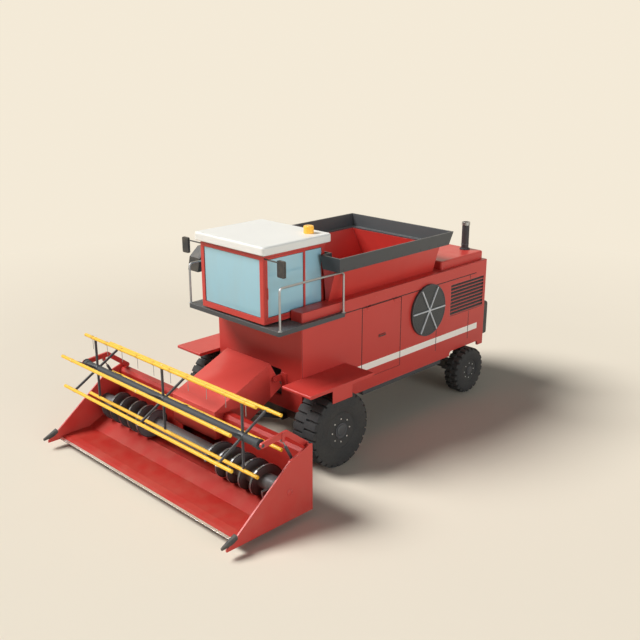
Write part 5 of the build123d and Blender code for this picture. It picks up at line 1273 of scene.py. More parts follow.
# ---- Seat ----
@dataclass
class Seat:
    """The driver's seat on its bellows: a stuffed cushion and back, with armrests and a control lever."""

    column: float = 0.255  # from the CAD seat's rear edge to the column's middle
    folds: int = 13
    fold: float = 0.017  # depth of one
    fold_rise: float = 0.0165
    bellows: float = 0.125  # half its width
    foot: Point = (0.14, 0.15, 0.03)  # half its length, half its width, its thickness
    arm_out: float = 0.290
    arm_post: float = 0.235  # where an armrest's bracket meets the seat pan, out from the middle
    lever: float = 0.014  # radius of its stem
    edge_round: float = 0.030
    voxel: float = 0.008
    most_swell: float = 0.016
    swell_steps: int = 20
    pressure: float = 4.0
    seams: tuple[float, ...] = (-0.5, 0.0, 0.5)  # across a pad, as shares of half its length
    seam_width: float = 0.07
    seam_depth: float = 0.16  # of the pad's thickness
    side_seam: float = 0.72
    side_seam_width: float = 0.05
    side_seam_depth: float = 0.10

    def build(self) -> None:
        """Makes the base and both pads, which stand for the CAD's seat."""
        low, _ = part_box("operator_seat")
        self.origin = Vector((low.x + self.column, 0.0, low.z))
        pieces = [self.build_base(),
                  self.pad("seat_cushion", Vector((0.02, 0.0, 0.320)), (0.23, 0.24, 0.052), (0, 1)),
                  self.pad("seat_back", Vector((-0.20, 0.0, 0.620)), (0.047, 0.225, 0.270), (2, 1))]
        for piece in pieces:
            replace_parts(piece, "operator_seat")

    def build_base(self) -> bpy.types.Object:
        """The foot, bellows, seat pan, armrests and lever.

        Returns:
            The finished piece.
        """
        base = Shape("seat_base", BLACK_PLASTIC)
        length, width, thick = self.foot
        blocks = [((-length, -width, 0.0), (length, width, thick))]
        rings = []
        for step in range(self.folds):
            grow = self.bellows if step % 2 else self.bellows - self.fold
            z = thick + step * self.fold_rise
            rings.append([self.origin + Vector((x * grow, y * grow, z))
                          for x, y in ((-1, -1), (1, -1), (1, 1), (-1, 1))])
        base.skin(rings)
        blocks.append(((-0.20, -0.23, 0.228), (0.24, 0.23, 0.262)))
        for side in Side:
            y = side.value * self.arm_out
            near, far = sorted((y, side.value * self.arm_post))
            blocks += [((-0.165, y - 0.030, 0.475), (0.165, y + 0.030, 0.525)),
                       ((-0.155, y - 0.012, 0.395), (-0.105, y + 0.012, 0.480)),
                       ((-0.155, near, 0.395), (-0.105, far, 0.425))]
        for low, high in blocks:
            base.box(self.origin + Vector(low), self.origin + Vector(high))
        stem = self.origin + Vector((0.14, -self.arm_out, 0.52))
        knob = self.origin + Vector((0.14, -self.arm_out, 0.60))
        base.rod(stem, knob, self.lever)
        base.lathe(knob, UP, [(-0.005, self.lever), (0.012, 0.026), (0.040, 0.028), (0.052, 0.016)], 16)
        return base.place("chassis", "black_plastic", bevel=0.008)

    def pad(self, name: str, middle: Vector, half_size: Point, flat: tuple[int, int]) -> bpy.types.Object:
        """A stuffed pad with sewn channels, swollen by a short cloth simulation.

        Args:
            name: The piece's name.
            middle: Its middle, from the foot of the seat's column.
            half_size: Half its length along each axis before it swells.
            flat: The two axes that its broad faces run along; the channels lie across the first.

        Returns:
            The finished piece.
        """
        pad = self.cut_foam(name, half_size)
        rest = [vert.co.copy() for vert in pad.data.vertices]
        self.swell(pad)
        for vert, start in zip(pad.data.vertices, rest):
            move = vert.co - start
            if move.length > self.most_swell:
                vert.co = start + move.normalized() * self.most_swell
        self.sew(pad, half_size, flat)
        data = pad.data
        data.materials.clear()
        data.materials.append(SEAT_CLOTH.material())
        data.shade_smooth()
        data.transform(Matrix.Translation(self.origin + middle))
        smooth = pad.modifiers.new("smoother", "SUBSURF")
        smooth.levels = 1
        smooth.render_levels = 1
        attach(pad, "chassis")
        LOG.info("%s is a stuffed pad with %d faces", name, len(data.polygons))
        return pad

    def cut_foam(self, name: str, half_size: Point) -> bpy.types.Object:
        """A rounded block of small even faces, with its middle at the origin.

        Args:
            name: The piece's name.
            half_size: Half its length along each axis.

        Returns:
            The block.
        """
        mesh = bmesh.new()
        bmesh.ops.create_cube(mesh, size=2.0)
        for vert in mesh.verts:
            vert.co = Vector([vert.co[axis] * half_size[axis] for axis in range(3)])
        bmesh.ops.bevel(mesh, geom=mesh.edges[:], offset=self.edge_round, segments=3, profile=0.6,
                        affect="EDGES")
        data = bpy.data.meshes.new(name)
        mesh.to_mesh(data)
        mesh.free()
        block = bpy.data.objects.new(name, data)
        bpy.context.scene.collection.objects.link(block)
        remesh = block.modifiers.new("voxels", "REMESH")
        remesh.mode = "VOXEL"
        remesh.voxel_size = self.voxel
        self.apply_modifiers(block)
        return block

    @staticmethod
    def apply_modifiers(piece: bpy.types.Object) -> None:
        """Gives a piece the mesh that its modifiers make, and removes them.

        Args:
            piece: The piece.
        """
        bpy.context.view_layer.update()
        made = bpy.data.meshes.new_from_object(piece.evaluated_get(bpy.context.evaluated_depsgraph_get()))
        piece.modifiers.clear()
        piece.data = made

    def swell(self, pad: bpy.types.Object) -> None:
        """Blows a pad up as cloth for a few steps, so that it crowns and its sides pull in.

        Args:
            pad: The pad, with a mesh of small even faces.
        """
        cloth = pad.modifiers.new("stuffing", "CLOTH")
        cloth.settings.use_pressure = True
        cloth.settings.uniform_pressure_force = self.pressure
        cloth.settings.quality = 5
        cloth.settings.mass = 0.3
        cloth.settings.effector_weights.gravity = 0.0
        for step in range(1, self.swell_steps + 1):
            bpy.context.scene.frame_set(step)
        self.apply_modifiers(pad)
        bpy.context.scene.frame_set(1)

    def sew(self, pad: bpy.types.Object, half_size: Point, flat: tuple[int, int]) -> None:
        """Draws a pad's broad faces in along its sewn channels and its two side seams.

        Args:
            pad: The pad, with its middle at the origin.
            half_size: Half its length along each axis.
            flat: The two axes that its broad faces run along.
        """
        across, along = flat
        thin = 3 - across - along
        for vert in pad.data.vertices:
            place = vert.co[across] / half_size[across]
            for seam in self.seams:
                pull = max(0.0, 1.0 - abs(place - seam) / self.seam_width)
                vert.co[thin] *= 1.0 - self.seam_depth * pull * pull
            out = abs(vert.co[along]) / half_size[along]
            pull = max(0.0, 1.0 - abs(out - self.side_seam) / self.side_seam_width)
            vert.co[thin] *= 1.0 - self.side_seam_depth * pull * pull


# ---- Cab ----
@dataclass
class Cab:
    """The cab's glass, seals, mirrors, roof, beacon and seat."""

    seal_width: float = 0.010
    seal_proud: float = 0.003
    mirror_border: float = 0.016
    mirror_width: float = 0.180
    mirror_height: float = 0.300
    mirror_corner: float = 0.022
    corner_steps: int = 4

    def build(self) -> None:
        """Dresses the cab and makes its fittings."""
        low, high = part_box("cab_glass")
        glass = Glass("tinted glass", seen(0.61, 0.81, 0.87), low.z, high.z)
        dress(glass, "cab_glass", "cab_door_glass")
        dress(RED_PAINT, "cab_frame", "cab_door")
        dress(WHITE_PAINT, "cab_roof")
        dress(BLACK_PLASTIC, "mirrors", "steering_column")
        beacon_low, beacon_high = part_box("beacon")
        dress(Lens("amber lens", seen(1.0, 0.76, 0.25), tuple((beacon_low + beacon_high) / 2)), "beacon")
        self.build_mirrors()
        self.build_seals()
        Seat().build()

    def build_mirrors(self) -> None:
        """The reflecting plates in the backs of both mirror heads."""
        border = self.mirror_border
        for side in Side:
            points = [point for point in corners_of("mirrors") if point.y * side.value > 0]
            outer = max(abs(p.y) for p in points)
            foot = min(p.z for p in points)
            back = min(p.x for p in points if abs(p.y) > outer - 0.02)
            shape = Shape(f"{side.word}_mirror_glass", MIRROR_GLASS)
            y = sorted(side.value * (outer - inward) for inward in (border, self.mirror_width - border))
            outline = self.rounded_outline(y, (foot + border, foot + self.mirror_height - border))
            shape.prism([Vector((back + 0.001, a, b)) for a, b in outline], FORWARD * -0.003)
            shape.place("chassis", "black_plastic")

    def rounded_outline(self, y: Sequence[float], z: Sequence[float]) -> list[Range]:
        """Points round a rectangle with rounded corners.

        Args:
            y: Where it starts and ends along Y.
            z: The same along Z.

        Returns:
            The points' Y and Z.
        """
        radius = self.mirror_corner
        corners = ((y[1] - radius, z[1] - radius, 0.0), (y[0] + radius, z[1] - radius, 0.25),
                   (y[0] + radius, z[0] + radius, 0.5), (y[1] - radius, z[0] + radius, 0.75))
        outline = []
        for middle_y, middle_z, start in corners:
            for step in range(self.corner_steps + 1):
                angle = tau * (start + 0.25 * step / self.corner_steps)
                outline.append((middle_y + radius * cos(angle), middle_z + radius * sin(angle)))
        return outline

    def seal(self, shape: Shape, pane: Span, axis: int, outward: float) -> None:
        """A rubber strip round a pane, lying on its outer face.

        Args:
            shape: The seals' mesh.
            pane: The box of the pane.
            axis: The axis that it faces along, 0 for X and 1 for Y.
            outward: 1 or -1, the way that it faces on that axis.
        """
        low, high = pane
        way = (FORWARD, LEFTWARD)[axis] * outward
        corners = []
        for end, level in ((low, low), (high, low), (high, high), (low, high)):
            corner = Vector((end.x, end.y, level.z))
            corner[axis] = high[axis] if outward > 0 else low[axis]
            corners.append(corner)
        middle = sum(corners, Vector()) / 4
        inner = [c + (middle - c).normalized() * self.seal_width * 1.4 for c in corners]
        for i in range(4):
            j = (i + 1) % 4
            strip = [corners[i], corners[j], inner[j], inner[i]]
            shape.prism([point - way * 0.001 for point in strip], way * self.seal_proud)

    def build_seals(self) -> None:
        """Seals round every fixed pane and round the door's pane."""
        shape = Shape("window_seals", SEAL_RUBBER)
        panes = loose_boxes("cab_glass")
        middle_x = (min(low.x for low, _ in panes) + max(high.x for _, high in panes)) / 2
        for low, high in panes:
            if (high.x - low.x) < (high.y - low.y):
                self.seal(shape, (low, high), 0, 1.0 if low.x > middle_x else -1.0)
            else:
                self.seal(shape, (low, high), 1, 1.0 if low.y > 0 else -1.0)
        shape.place("chassis", "black_plastic")
        shape = Shape("door_seal", SEAL_RUBBER)
        self.seal(shape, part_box("cab_door_glass"), 1, 1.0)
        shape.place("cab_door", "black_plastic")


# ---- Platform, rails, fenders and ladder ----
@dataclass
class Deck:
    """The platform round the cab, its handrails with their feet, the ladder and the fenders."""

    tube: float = 0.021  # radius of the handrails
    foot_bolt: float = 1.58  # from a post's middle, in radii of the rail
    rungs: int = 7
    first_rung: float = 0.060  # over the ladder's foot
    rung_span: float = 0.160  # the ladder's height beyond that from first rung to last
    rung_top: float = 0.013  # over the rung's middle
    cleats: int = 11
    cleat_margin: float = 0.045
    cleat: Point = (0.004, 0.044, 0.004)  # half its width, its length, its height
    fender_bolts: int = 6
    fender_margin: float = 0.12
    fender_flange: float = 0.07  # from the fender's inner edge out to its bolts

    def build(self) -> None:
        """Dresses the deck and adds rail feet, ladder cleats and fender bolts."""
        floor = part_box("handrails")[0].z
        dress(ChequerPaint("chequered deck paint", DARK, floor), "platform")
        dress(PALE_STEEL, "handrails")
        dress(DARK_PAINT, "ladder")
        dress(RED_PAINT, "fenders")
        self.build_rail_feet()
        self.build_cleats()
        self.build_fender_bolts()

    def build_rail_feet(self) -> None:
        """A flange with two bolts under each rail post."""
        shape = Shape("rail_feet", PALE_STEEL)
        tube = self.tube
        for side in Side:
            low, high = half("handrails", side)
            for x in (low.x + tube, high.x - tube):
                foot = Vector((x, (low.y + high.y) / 2, low.z))
                shape.use(PALE_STEEL)
                shape.lathe(foot, UP, [(0.0, 2.1 * tube), (0.007, 2.1 * tube), (0.010, 1.9 * tube),
                                       (0.010, tube)], 24)
                shape.use(BOLT_STEEL)
                for step in (-1.0, 1.0):
                    shape.bolt(foot + Vector((step * self.foot_bolt * tube, 0.0, 0.010)), UP, 0.006)
        shape.place("chassis", "grey_steel")

    def build_cleats(self) -> None:
        """Raised cleats along the top of each ladder rung."""
        low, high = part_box("ladder")
        shape = Shape("ladder_cleats", BOLT_STEEL)
        width, length, height = self.cleat
        foot = low.z + self.first_rung + self.rung_top
        outer = low.y + 0.008
        for z in spread(foot, foot + high.z - low.z - self.rung_span, self.rungs):
            for x in spread(low.x + self.cleat_margin, high.x - self.cleat_margin, self.cleats):
                shape.box((x - width, outer, z - 0.001), (x + width, outer + length, z + height))
        shape.place("chassis", "dark_paint")

    def build_fender_bolts(self) -> None:
        """Bolts through each fender's inner flange."""
        shape = Shape("fender_bolts", RED_PAINT)
        for side in Side:
            low, high = half("fenders", side)
            y = side.value * (min(abs(low.y), abs(high.y)) + self.fender_flange)
            for x in spread(low.x + self.fender_margin, high.x - self.fender_margin, self.fender_bolts):
                shape.bolt(Vector((x, y, high.z)), UP, 0.009)
        shape.place("chassis", "red_paint")


# ---- Grain tank and unloading auger ----
@dataclass
class GrainTank:
    """The open tank with its steel screw and rim bolts, and the unloading auger with its flange bolts."""

    flight_radius: float = 0.085
    flight_half: float = 0.0025  # half its thickness
    flight_pitch: float = 0.16
    flight_margin: float = 0.05  # from the shaft's end
    steps_a_turn: int = 28
    shaft_radius: float = 0.030
    flight_root: float = 0.004  # how deep it stands in the shaft
    bearing: Point = (0.015, 0.060, 0.055)  # half its bracket's thickness and width, its radius
    rim_flare: float = 0.060
    rim_bolts: int = 12
    rim_margin: float = 0.16
    flange_circle: float = 0.168
    flange_drop: float = 0.026  # under the elbow's top
    flange_bolts: int = 12

    def build(self) -> None:
        """Dresses the tank and makes what shows inside it."""
        dress(Paint("tank paint", RED, dust=0.0), "grain_tank")
        dress(DARK_PAINT, "tank_rim")
        dress(RED_PAINT, "unloading_auger", "unloading_elbow")
        dress(BLACK_PLASTIC, "unloading_spout")
        self.build_screw()
        self.build_rim_bolts()
        self.build_flange_bolts()

    def build_screw(self) -> None:
        """The cross auger on the tank's floor: a shaft with one long helical flight between two bearings."""
        low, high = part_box("tank_auger")
        z = high.z - self.flight_radius
        shape = Shape("tank_screw", WORN_STEEL)
        shape.rod(Vector((low.x, 0.0, z)), Vector((high.x, 0.0, z)), self.shaft_radius, 20)
        run = high.x - low.x - 2 * self.flight_margin
        steps = ceil(run / self.flight_pitch * self.steps_a_turn)
        root = self.shaft_radius - self.flight_root
        thick = FORWARD * self.flight_half
        rings = []
        for step in range(steps + 1):
            turn = tau * step / self.steps_a_turn
            out = Vector((0.0, cos(turn), sin(turn)))
            axis = Vector((low.x + self.flight_margin + run * step / steps, 0.0, z))
            rings.append([axis + out * root - thick, axis + out * self.flight_radius - thick,
                          axis + out * self.flight_radius + thick, axis + out * root + thick])
        shape.skin(rings)
        shape.use(CASTING)
        depth, width, radius = self.bearing
        for x in (low.x + depth, high.x - depth):
            shape.box((x - depth, -width, low.z), (x + depth, width, z))
            shape.lathe(Vector((x - 0.02, 0.0, z)), FORWARD, [(0.0, radius), (0.04, radius)], 24)
        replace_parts(shape.place("chassis", "grey_steel"), "tank_auger")

    def build_rim_bolts(self) -> None:
        """Bolts that hold the rim's plates to the hopper, along both sides."""
        low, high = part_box("tank_rim")
        shape = Shape("tank_rim_bolts", DARK_PAINT)
        drop = high.z - low.z
        for side in Side:
            way = Vector((0.0, side.value * drop, -self.rim_flare)).normalized()
            y = side.value * ((high.y - low.y) / 2 - self.rim_flare * 0.86)
            for x in spread(low.x + self.rim_margin, high.x - self.rim_margin, self.rim_bolts):
                shape.bolt(Vector((x, y, low.z + 0.14 * drop)), way, 0.010)
        shape.place("chassis", "dark_paint")

    def build_flange_bolts(self) -> None:
        """Bolts round the flange between the unloading auger and its elbow."""
        shape = Shape("unloading_flange_bolts", BOLT_STEEL)
        x, y, _ = joint("unloading_swing")["pos_m"]
        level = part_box("unloading_elbow")[1].z - self.flange_drop
        for seat in bolt_places(Vector((x, y, level)), DOWN, self.flange_circle, self.flange_bolts):
            shape.bolt(seat, DOWN, 0.010)
        shape.place("chassis", "red_paint")


# ---- Header ----
@dataclass
class Header:
    """The cutting header: knife sections and guards, wear strip, rivets and bearing caps."""

    flight_edge: float = 0.022  # width of the polished edge of the auger's flights
    section_pitch: float = 0.0762
    section_reach: float = 0.006
    section_thick: float = 0.004
    knife_width: float = 0.050
    guard_back: float = 0.016  # of its root behind the bar's front
    guard_drop: float = 0.018  # under the sections' top
    # a guard from its root forward: along, and radius
    guard: tuple[Range, ...] = ((0.0, 0.013), (0.014, 0.012), (0.020, 0.005))
    lip_width: float = 0.063  # the wear strip behind the knife
    lip_rise: float = 0.004
    lip_fall: float = 0.33
    deck_fall: float = 35.0 / 191.0  # of the deck's nose
    rivets: int = 18
    rivet_margin: float = 0.15
    cap_circle: float = 0.044  # on which a bearing cap's screws lie
    cap_height: float = 0.009

    def build(self) -> None:
        """Dresses the header and adds its working details."""
        self.auger = Vector(joint("header_auger_spin")["pos_m"])
        low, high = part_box("header_auger")
        edge = (high.z - low.z) / 2 - self.flight_edge
        rim = RadiusMark(self.auger.x, self.auger.z, edge, FAR, seen(0.42, 0.425, 0.43), 0.26, 0.7)
        dress(Paint("auger paint", seen(0.37, 0.37, 0.375), roughness=0.46, specular=0.4, edge_width=0.003,
                    marks=(rim,)), "header_auger")
        # the header's frame takes the darker copy of red: painted shade
        dress(SHADED_HEADER_PAINT, "header_frame")
        dress(RED_PAINT, "header_ends", "feeder_ears")
        dress(DARK_PAINT, "header_lift_barrels", "reel_lift_barrels")
        dress(CHROME, "header_lift_rods", "reel_lift_rods")
        dress(BLACK_PLASTIC, "crop_dividers")
        dress(CASTING, "cutter_bar")
        self.build_knife()
        self.build_rivets()
        self.build_bearing_caps()

    def build_knife(self) -> None:
        """The row of sections along the bar's front, a guard under each joint, and the wear strip behind."""
        low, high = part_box("cutter_bar")
        pitch = self.section_pitch
        count = int((high.y - low.y) / pitch)
        top = high.z + 0.001
        root = high.x - self.knife_width
        tip = high.x + self.section_reach
        corners = ((root, 0.0, 0.0), (root, 1.0, 0.0), (high.x, 1.0, 0.002), (tip, 0.75, 0.004),
                   (tip, 0.25, 0.004), (high.x, 0.0, 0.002))
        shape = Shape("knife_sections", KNIFE_STEEL)
        for index in range(count):
            y = (index - count / 2) * pitch
            shape.use(KNIFE_STEEL)
            shape.prism([Vector((x, y + share * pitch, top - drop)) for x, share, drop in corners],
                        UP * self.section_thick)
            shape.use(CASTING)
            shape.lathe(Vector((high.x - self.guard_back, y, top - self.guard_drop)), FORWARD, self.guard, 6)
        # the wear strip takes the header's darker red: painted shade
        shape.use(SHADED_HEADER_PAINT)
        front, rear = root + 0.004, root - self.lip_width
        outline = [Vector((x, low.y, high.z + rise + (root - x) * fall)) for x, rise, fall in
                   ((front, self.lip_rise, self.lip_fall), (rear, self.lip_rise, self.lip_fall),
                    (rear - 0.006, -0.006, self.deck_fall), (front, -0.006, self.deck_fall))]
        shape.prism(outline, LEFTWARD * (high.y - low.y))
        shape.place("header", "grey_steel")

    def build_rivets(self) -> None:
        """Rivets along the top of the back beam."""
        low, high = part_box("header_frame")
        shape = Shape("header_bolts", RED_PAINT)
        for y in spread(low.y + self.rivet_margin, high.y - self.rivet_margin, self.rivets):
            shape.rivet(Vector((low.x + 0.030, y, high.z)), UP, 0.011)
        shape.place("header", "red_paint")

    def build_bearing_caps(self) -> None:
        """A cap with four screws over the auger's bearing in each end plate."""
        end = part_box("header_ends")[1].y
        shape = Shape("auger_bearing_caps", RED_PAINT)
        for side in Side:
            seat = Vector((self.auger.x, side.value * end, self.auger.z))
            shape.lathe(seat, side.way, [(-0.002, 0.062), (0.005, 0.062), (self.cap_height, 0.056)], 32)
            for screw in bolt_places(seat + side.way * self.cap_height, side.way, self.cap_circle, 4):
                shape.rivet(screw, side.way, 0.006)
        shape.place("header", "red_paint")


# ---- Feeder ----
@dataclass
class Feeder:
    """The feeder's sheet hood with its screws, and the slat conveyor and drum inside it."""

    nose_back: float = 0.170  # from the auger's axis back to the hood's nose
    nose_over: float = 0.160  # from the auger's axis up to the hood's lower lip
    nose_top: float = 1.335  # clears the reel at its lowest
    sheet: float = 0.004
    clear: float = 0.003  # between the sheet and the beam
    rear_gap: float = 0.012  # from the CAD feeder's rear edge to the side plates
    beam_foot: float = 0.022  # how far the plates' lower edge stands before the beam
    beam_skirt: float = 0.13  # levels under the beam's top where the plates' edge turns
    beam_shoulder: float = 0.055
    beam_slope: float = 0.045  # of the beam's upper front edge
    screws: int = 9
    first_screw: float = 0.09
    screw_pitch: float = 0.14
    screw_drop: float = 0.055  # under the hood's top
    slat_pitch: float = 0.16
    slat_wall: float = 0.008
    slat_foot: float = 0.045
    slat_height: float = 0.050
    chains: tuple[float, ...] = (-0.46, 0.0, 0.46)
    chain_half: float = 0.02  # half its width
    chain_thick: float = 0.012
    runs: tuple[Range, ...] = ((0.16, -1.0), (0.50, 1.0))  # depth under the top, and the slats' way
    side_gap: float = 0.062  # between the feeder's wall and the slats
    drum_back: float = 0.17  # from the feeder's front edge
    drum_depth: float = 0.33
    drum_radius: float = 0.15
    drum_wall: float = 0.03
    apron: Point = (0.016, 0.11, 0.04)  # gap to the feeder's front, reach under and over its foot
    apron_thick: float = 0.006

    def __post_init__(self) -> None:
        """Reads the corners of the feeder's side from its node."""
        points = corners_of("feeder_house")
        front = max(p.x for p in points)
        self.half_width = max(abs(p.y) for p in points if p.x > front - 0.01)
        wall = [p for p in points if abs(abs(p.y) - self.half_width) < 0.002]
        self.top_rear = max(wall, key=lambda p: p.z)
        self.top_front = max((p for p in wall if p.x > front - 0.01), key=lambda p: p.z)
        self.foot_front = min((p for p in wall if p.x > front - 0.01), key=lambda p: p.z)
        self.fall = (self.top_front.z - self.top_rear.z) / (self.top_front.x - self.top_rear.x)

    def build(self) -> None:
        """Dresses the feeder and makes its hood and conveyor."""
        # the feeder and its hood take the lighter copy of red: painted light
        dress(LIT_FEEDER_PAINT, "feeder_house")
        self.build_hood()
        self.build_conveyor()

    def outline(self) -> list[Range]:
        """The side plate's edge, from the top's rear end round by the nose, the beam and the foot.

        Returns:
            X and Z of its corners.
        """
        auger = joint("header_auger_spin")["pos_m"]
        beam = corners_of("header_frame")
        top = max(p.z for p in beam)
        front = max(p.x for p in beam if p.z > top - 0.06) + self.clear
        nose, lip = auger[0] - self.nose_back, auger[2] + self.nose_over
        start = self.top_rear.x + self.rear_gap
        return [(self.top_rear.x, self.top_rear.z + 0.006), (nose, self.nose_top), (nose, lip),
                (front + self.beam_foot, lip), (front, top - self.beam_skirt),
                (front, top - self.beam_shoulder), (front - self.beam_slope, top + self.clear),
                (self.top_front.x, top + self.clear),
                (self.foot_front.x, self.foot_front.z),
                (start, self.foot_front.z + self.fall * (start - self.foot_front.x)),
                (start, self.top_rear.z + self.fall * (start - self.top_rear.x))]

    def build_hood(self) -> None:
        """The sheet hood: side plates and a top that runs on over the beam to a nose above the auger."""
        outline = self.outline()
        y = self.half_width + self.sheet + 0.001
        shape = Shape("feeder_hood", LIT_FEEDER_PAINT)
        left, right = ([shape.mesh.verts.new((x, edge, z)) for x, z in outline] for edge in (y, -y))
        shape.face(left[::-1])
        shape.face(right)
        for i in range(2):
            shape.face((left[i], left[i + 1], right[i + 1], right[i]))
        hood = shape.place("header", "red_paint", bevel=0.022)
        hood.modifiers.new("sheet", "SOLIDIFY").thickness = self.sheet
        slope = (self.nose_top - self.top_rear.z) / (outline[1][0] - self.top_rear.x)
        screws = Shape("feeder_screws", LIT_FEEDER_PAINT)
        for side in Side:
            for index in range(self.screws):
                along = self.first_screw + index * self.screw_pitch
                z = self.top_rear.z + slope * along - self.screw_drop
                screws.rivet(Vector((self.top_rear.x + along, side.value * y, z)), side.way, 0.009)
        screws.place("header", "red_paint")

    def build_conveyor(self) -> None:
        """The slatted feed chains inside the feeder with their front drum, and the apron under its mouth."""
        fall = Vector((1.0, 0.0, self.fall)).normalized()
        under = Vector((fall.z, 0.0, -fall.x))
        half_width = self.half_width - self.side_gap
        origin = Vector((self.top_rear.x, 0.0, self.top_rear.z))
        length = (self.top_front.x - self.top_rear.x) / fall.x
        across = LEFTWARD * (2 * half_width)
        shape = Shape("feed_conveyor", CASTING)
        for depth, way in self.runs:
            out = under * way
            section = [Vector(), fall * self.slat_foot, fall * self.slat_foot + out * self.slat_wall,
                       (fall + out) * self.slat_wall, fall * self.slat_wall + out * self.slat_height,
                       out * self.slat_height]
            for index in range(int(length / self.slat_pitch) - 1):
                foot = origin + fall * (0.10 + index * self.slat_pitch) + under * depth - across / 2
                shape.prism([foot + corner for corner in section], across)
            for y in self.chains:
                seat = origin + under * depth - out * self.chain_thick + LEFTWARD * (y - self.chain_half)
                rear, front = seat + fall * 0.05, seat + fall * (length - 0.10)
                shape.prism([rear, front, front + out * self.chain_thick, rear + out * self.chain_thick],
                            LEFTWARD * (2 * self.chain_half))
        drum = origin + fall * (length - self.drum_back) + under * self.drum_depth
        outer, bore, end = self.drum_radius, self.drum_radius - self.drum_wall, 2 * half_width
        shape.lathe(drum - across / 2, LEFTWARD, [(0.0, bore), (0.0, outer), (end, outer), (end, bore)], 32)
        shape.use(RED_PAINT)
        gap, down, up = self.apron
        back = self.foot_front.x + gap
        shape.box((back, -half_width, self.foot_front.z - down),
                  (back + self.apron_thick, half_width, self.foot_front.z + up))
        shape.place("header", "cast_drive")


# ---- Reel and running gear ----
@dataclass
class Reel:
    """The reel's bats, spiders and tines, with its torque tube, clamps on the bats and coils on the tines."""

    bats: int = 6
    bat_radius: float = 0.032
    tube_radius: float = 0.068
    # the tube's collar, from its end inward: along the tube, and radius
    collar: tuple[Range, ...] = ((0.0, 0.060), (0.0, 0.088), (0.014, 0.088), (0.014, 0.078), (0.110, 0.078))
    tube_gap: float = 0.015  # between the collar and the reel's arm
    spider_in: float = 0.345  # from a bat's end to the outer spider
    clamp_width: float = 0.050
    clamp_rise: float = 0.004  # over the bat
    clamp_bolt: float = 0.014  # from the clamp's middle
    coil_turns: int = 5
    coil_pitch: float = 0.0065
    # one turn of a coil: along the bat and over its surface
    coil: tuple[Range, ...] = ((-0.0028, 0.0), (-0.0022, 0.0045), (0.0022, 0.0045), (0.0028, 0.0))

    def build(self) -> None:
        """Dresses the reel and makes its tube, clamps and coils."""
        dress(YELLOW_PAINT, "reel_bats")
        dress(DARK_PAINT, "reel_shaft")
        dress(RED_PAINT, "reel_arms")
        dress(PALE_STEEL, "reel_tines")
        self.axis = Vector(joint("reel_spin")["pos_m"])
        low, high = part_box("reel_bats")
        self.reach = (high.z - low.z) / 2 - self.bat_radius
        self.spider = high.y - self.spider_in
        self.build_tube()
        self.build_clamps()
        self.build_coils()

    def bat(self, index: int) -> Vector:
        """The middle of one of the bats; the first is on top."""
        angle = radians(90 + 360 / self.bats * index)
        return self.axis + Vector((self.reach * cos(angle), 0.0, self.reach * sin(angle)))

    def build_tube(self) -> None:
        """The reel's torque tube round its shaft, with a flanged collar at each end."""
        shape = Shape("reel_torque_tube", TUBE_PAINT)
        inner = min(abs(p.y) for p in corners_of("reel_arms")) - self.tube_gap
        near = [*self.collar, (self.collar[-1][0], self.tube_radius)]
        far = [(2 * inner - along, radius) for along, radius in near[::-1]]
        shape.lathe(self.axis - LEFTWARD * inner, LEFTWARD, near + far, 28)
        shape.place("reel", "dark_paint")

    def build_clamps(self) -> None:
        """A bolted clamp where each spider carries a bat."""
        shape = Shape("bat_clamps", YELLOW_PAINT)
        radius = self.bat_radius + self.clamp_rise
        for index in range(self.bats):
            inward = (self.axis - self.bat(index)).normalized()
            for y in (-self.spider, 0.0, self.spider):
                middle = self.bat(index)
                middle.y = y
                shape.use(YELLOW_PAINT)
                shape.lathe(middle - LEFTWARD * (self.clamp_width / 2), LEFTWARD,
                            [(0.0, radius), (self.clamp_width, radius)], 20)
                shape.use(BOLT_STEEL)
                for step in (-self.clamp_bolt, self.clamp_bolt):
                    shape.bolt(middle - inward * radius + LEFTWARD * step, inward * -1.0, 0.006)
        shape.place("reel", "yellow_paint")

    def build_coils(self) -> None:
        """A sprung coil round the top bat at the head of each tine."""
        shape = Shape("tine_coils", YELLOW_PAINT)
        profile = [(along, self.bat_radius + rise) for along, rise in self.coil]
        for low, high in loose_boxes("reel_tines"):
            for turn in range(self.coil_turns):
                middle = self.bat(0)
                middle.y = (low.y + high.y) / 2 + (turn - (self.coil_turns - 1) / 2) * self.coil_pitch
                shape.lathe(middle, LEFTWARD, profile, 20)
        shape.place("reel", "yellow_paint")


@dataclass
class Running:
    """Axles and knuckles, with the bolts on the final drives."""

    bolt_circle: float = 0.185
    bolts: int = 12
    face: float = 0.008  # of the final drive, outside the under-frame

    def build(self) -> None:
        """Dresses the castings and bolts the final drives."""
        dress(CASTING, "front_axle", "rear_axle", "left_knuckle", "right_knuckle")
        shape = Shape("final_drive_bolts", BOLT_STEEL)
        x, _, z = joint("front_left_wheel_spin")["pos_m"]
        for side in Side:
            centre = Vector((x, side.value * (half_frame() + self.face), z))
            for seat in bolt_places(centre, side.way, self.bolt_circle, self.bolts):
                shape.bolt(seat, side.way, 0.012)
        shape.place("chassis", "cast_drive")


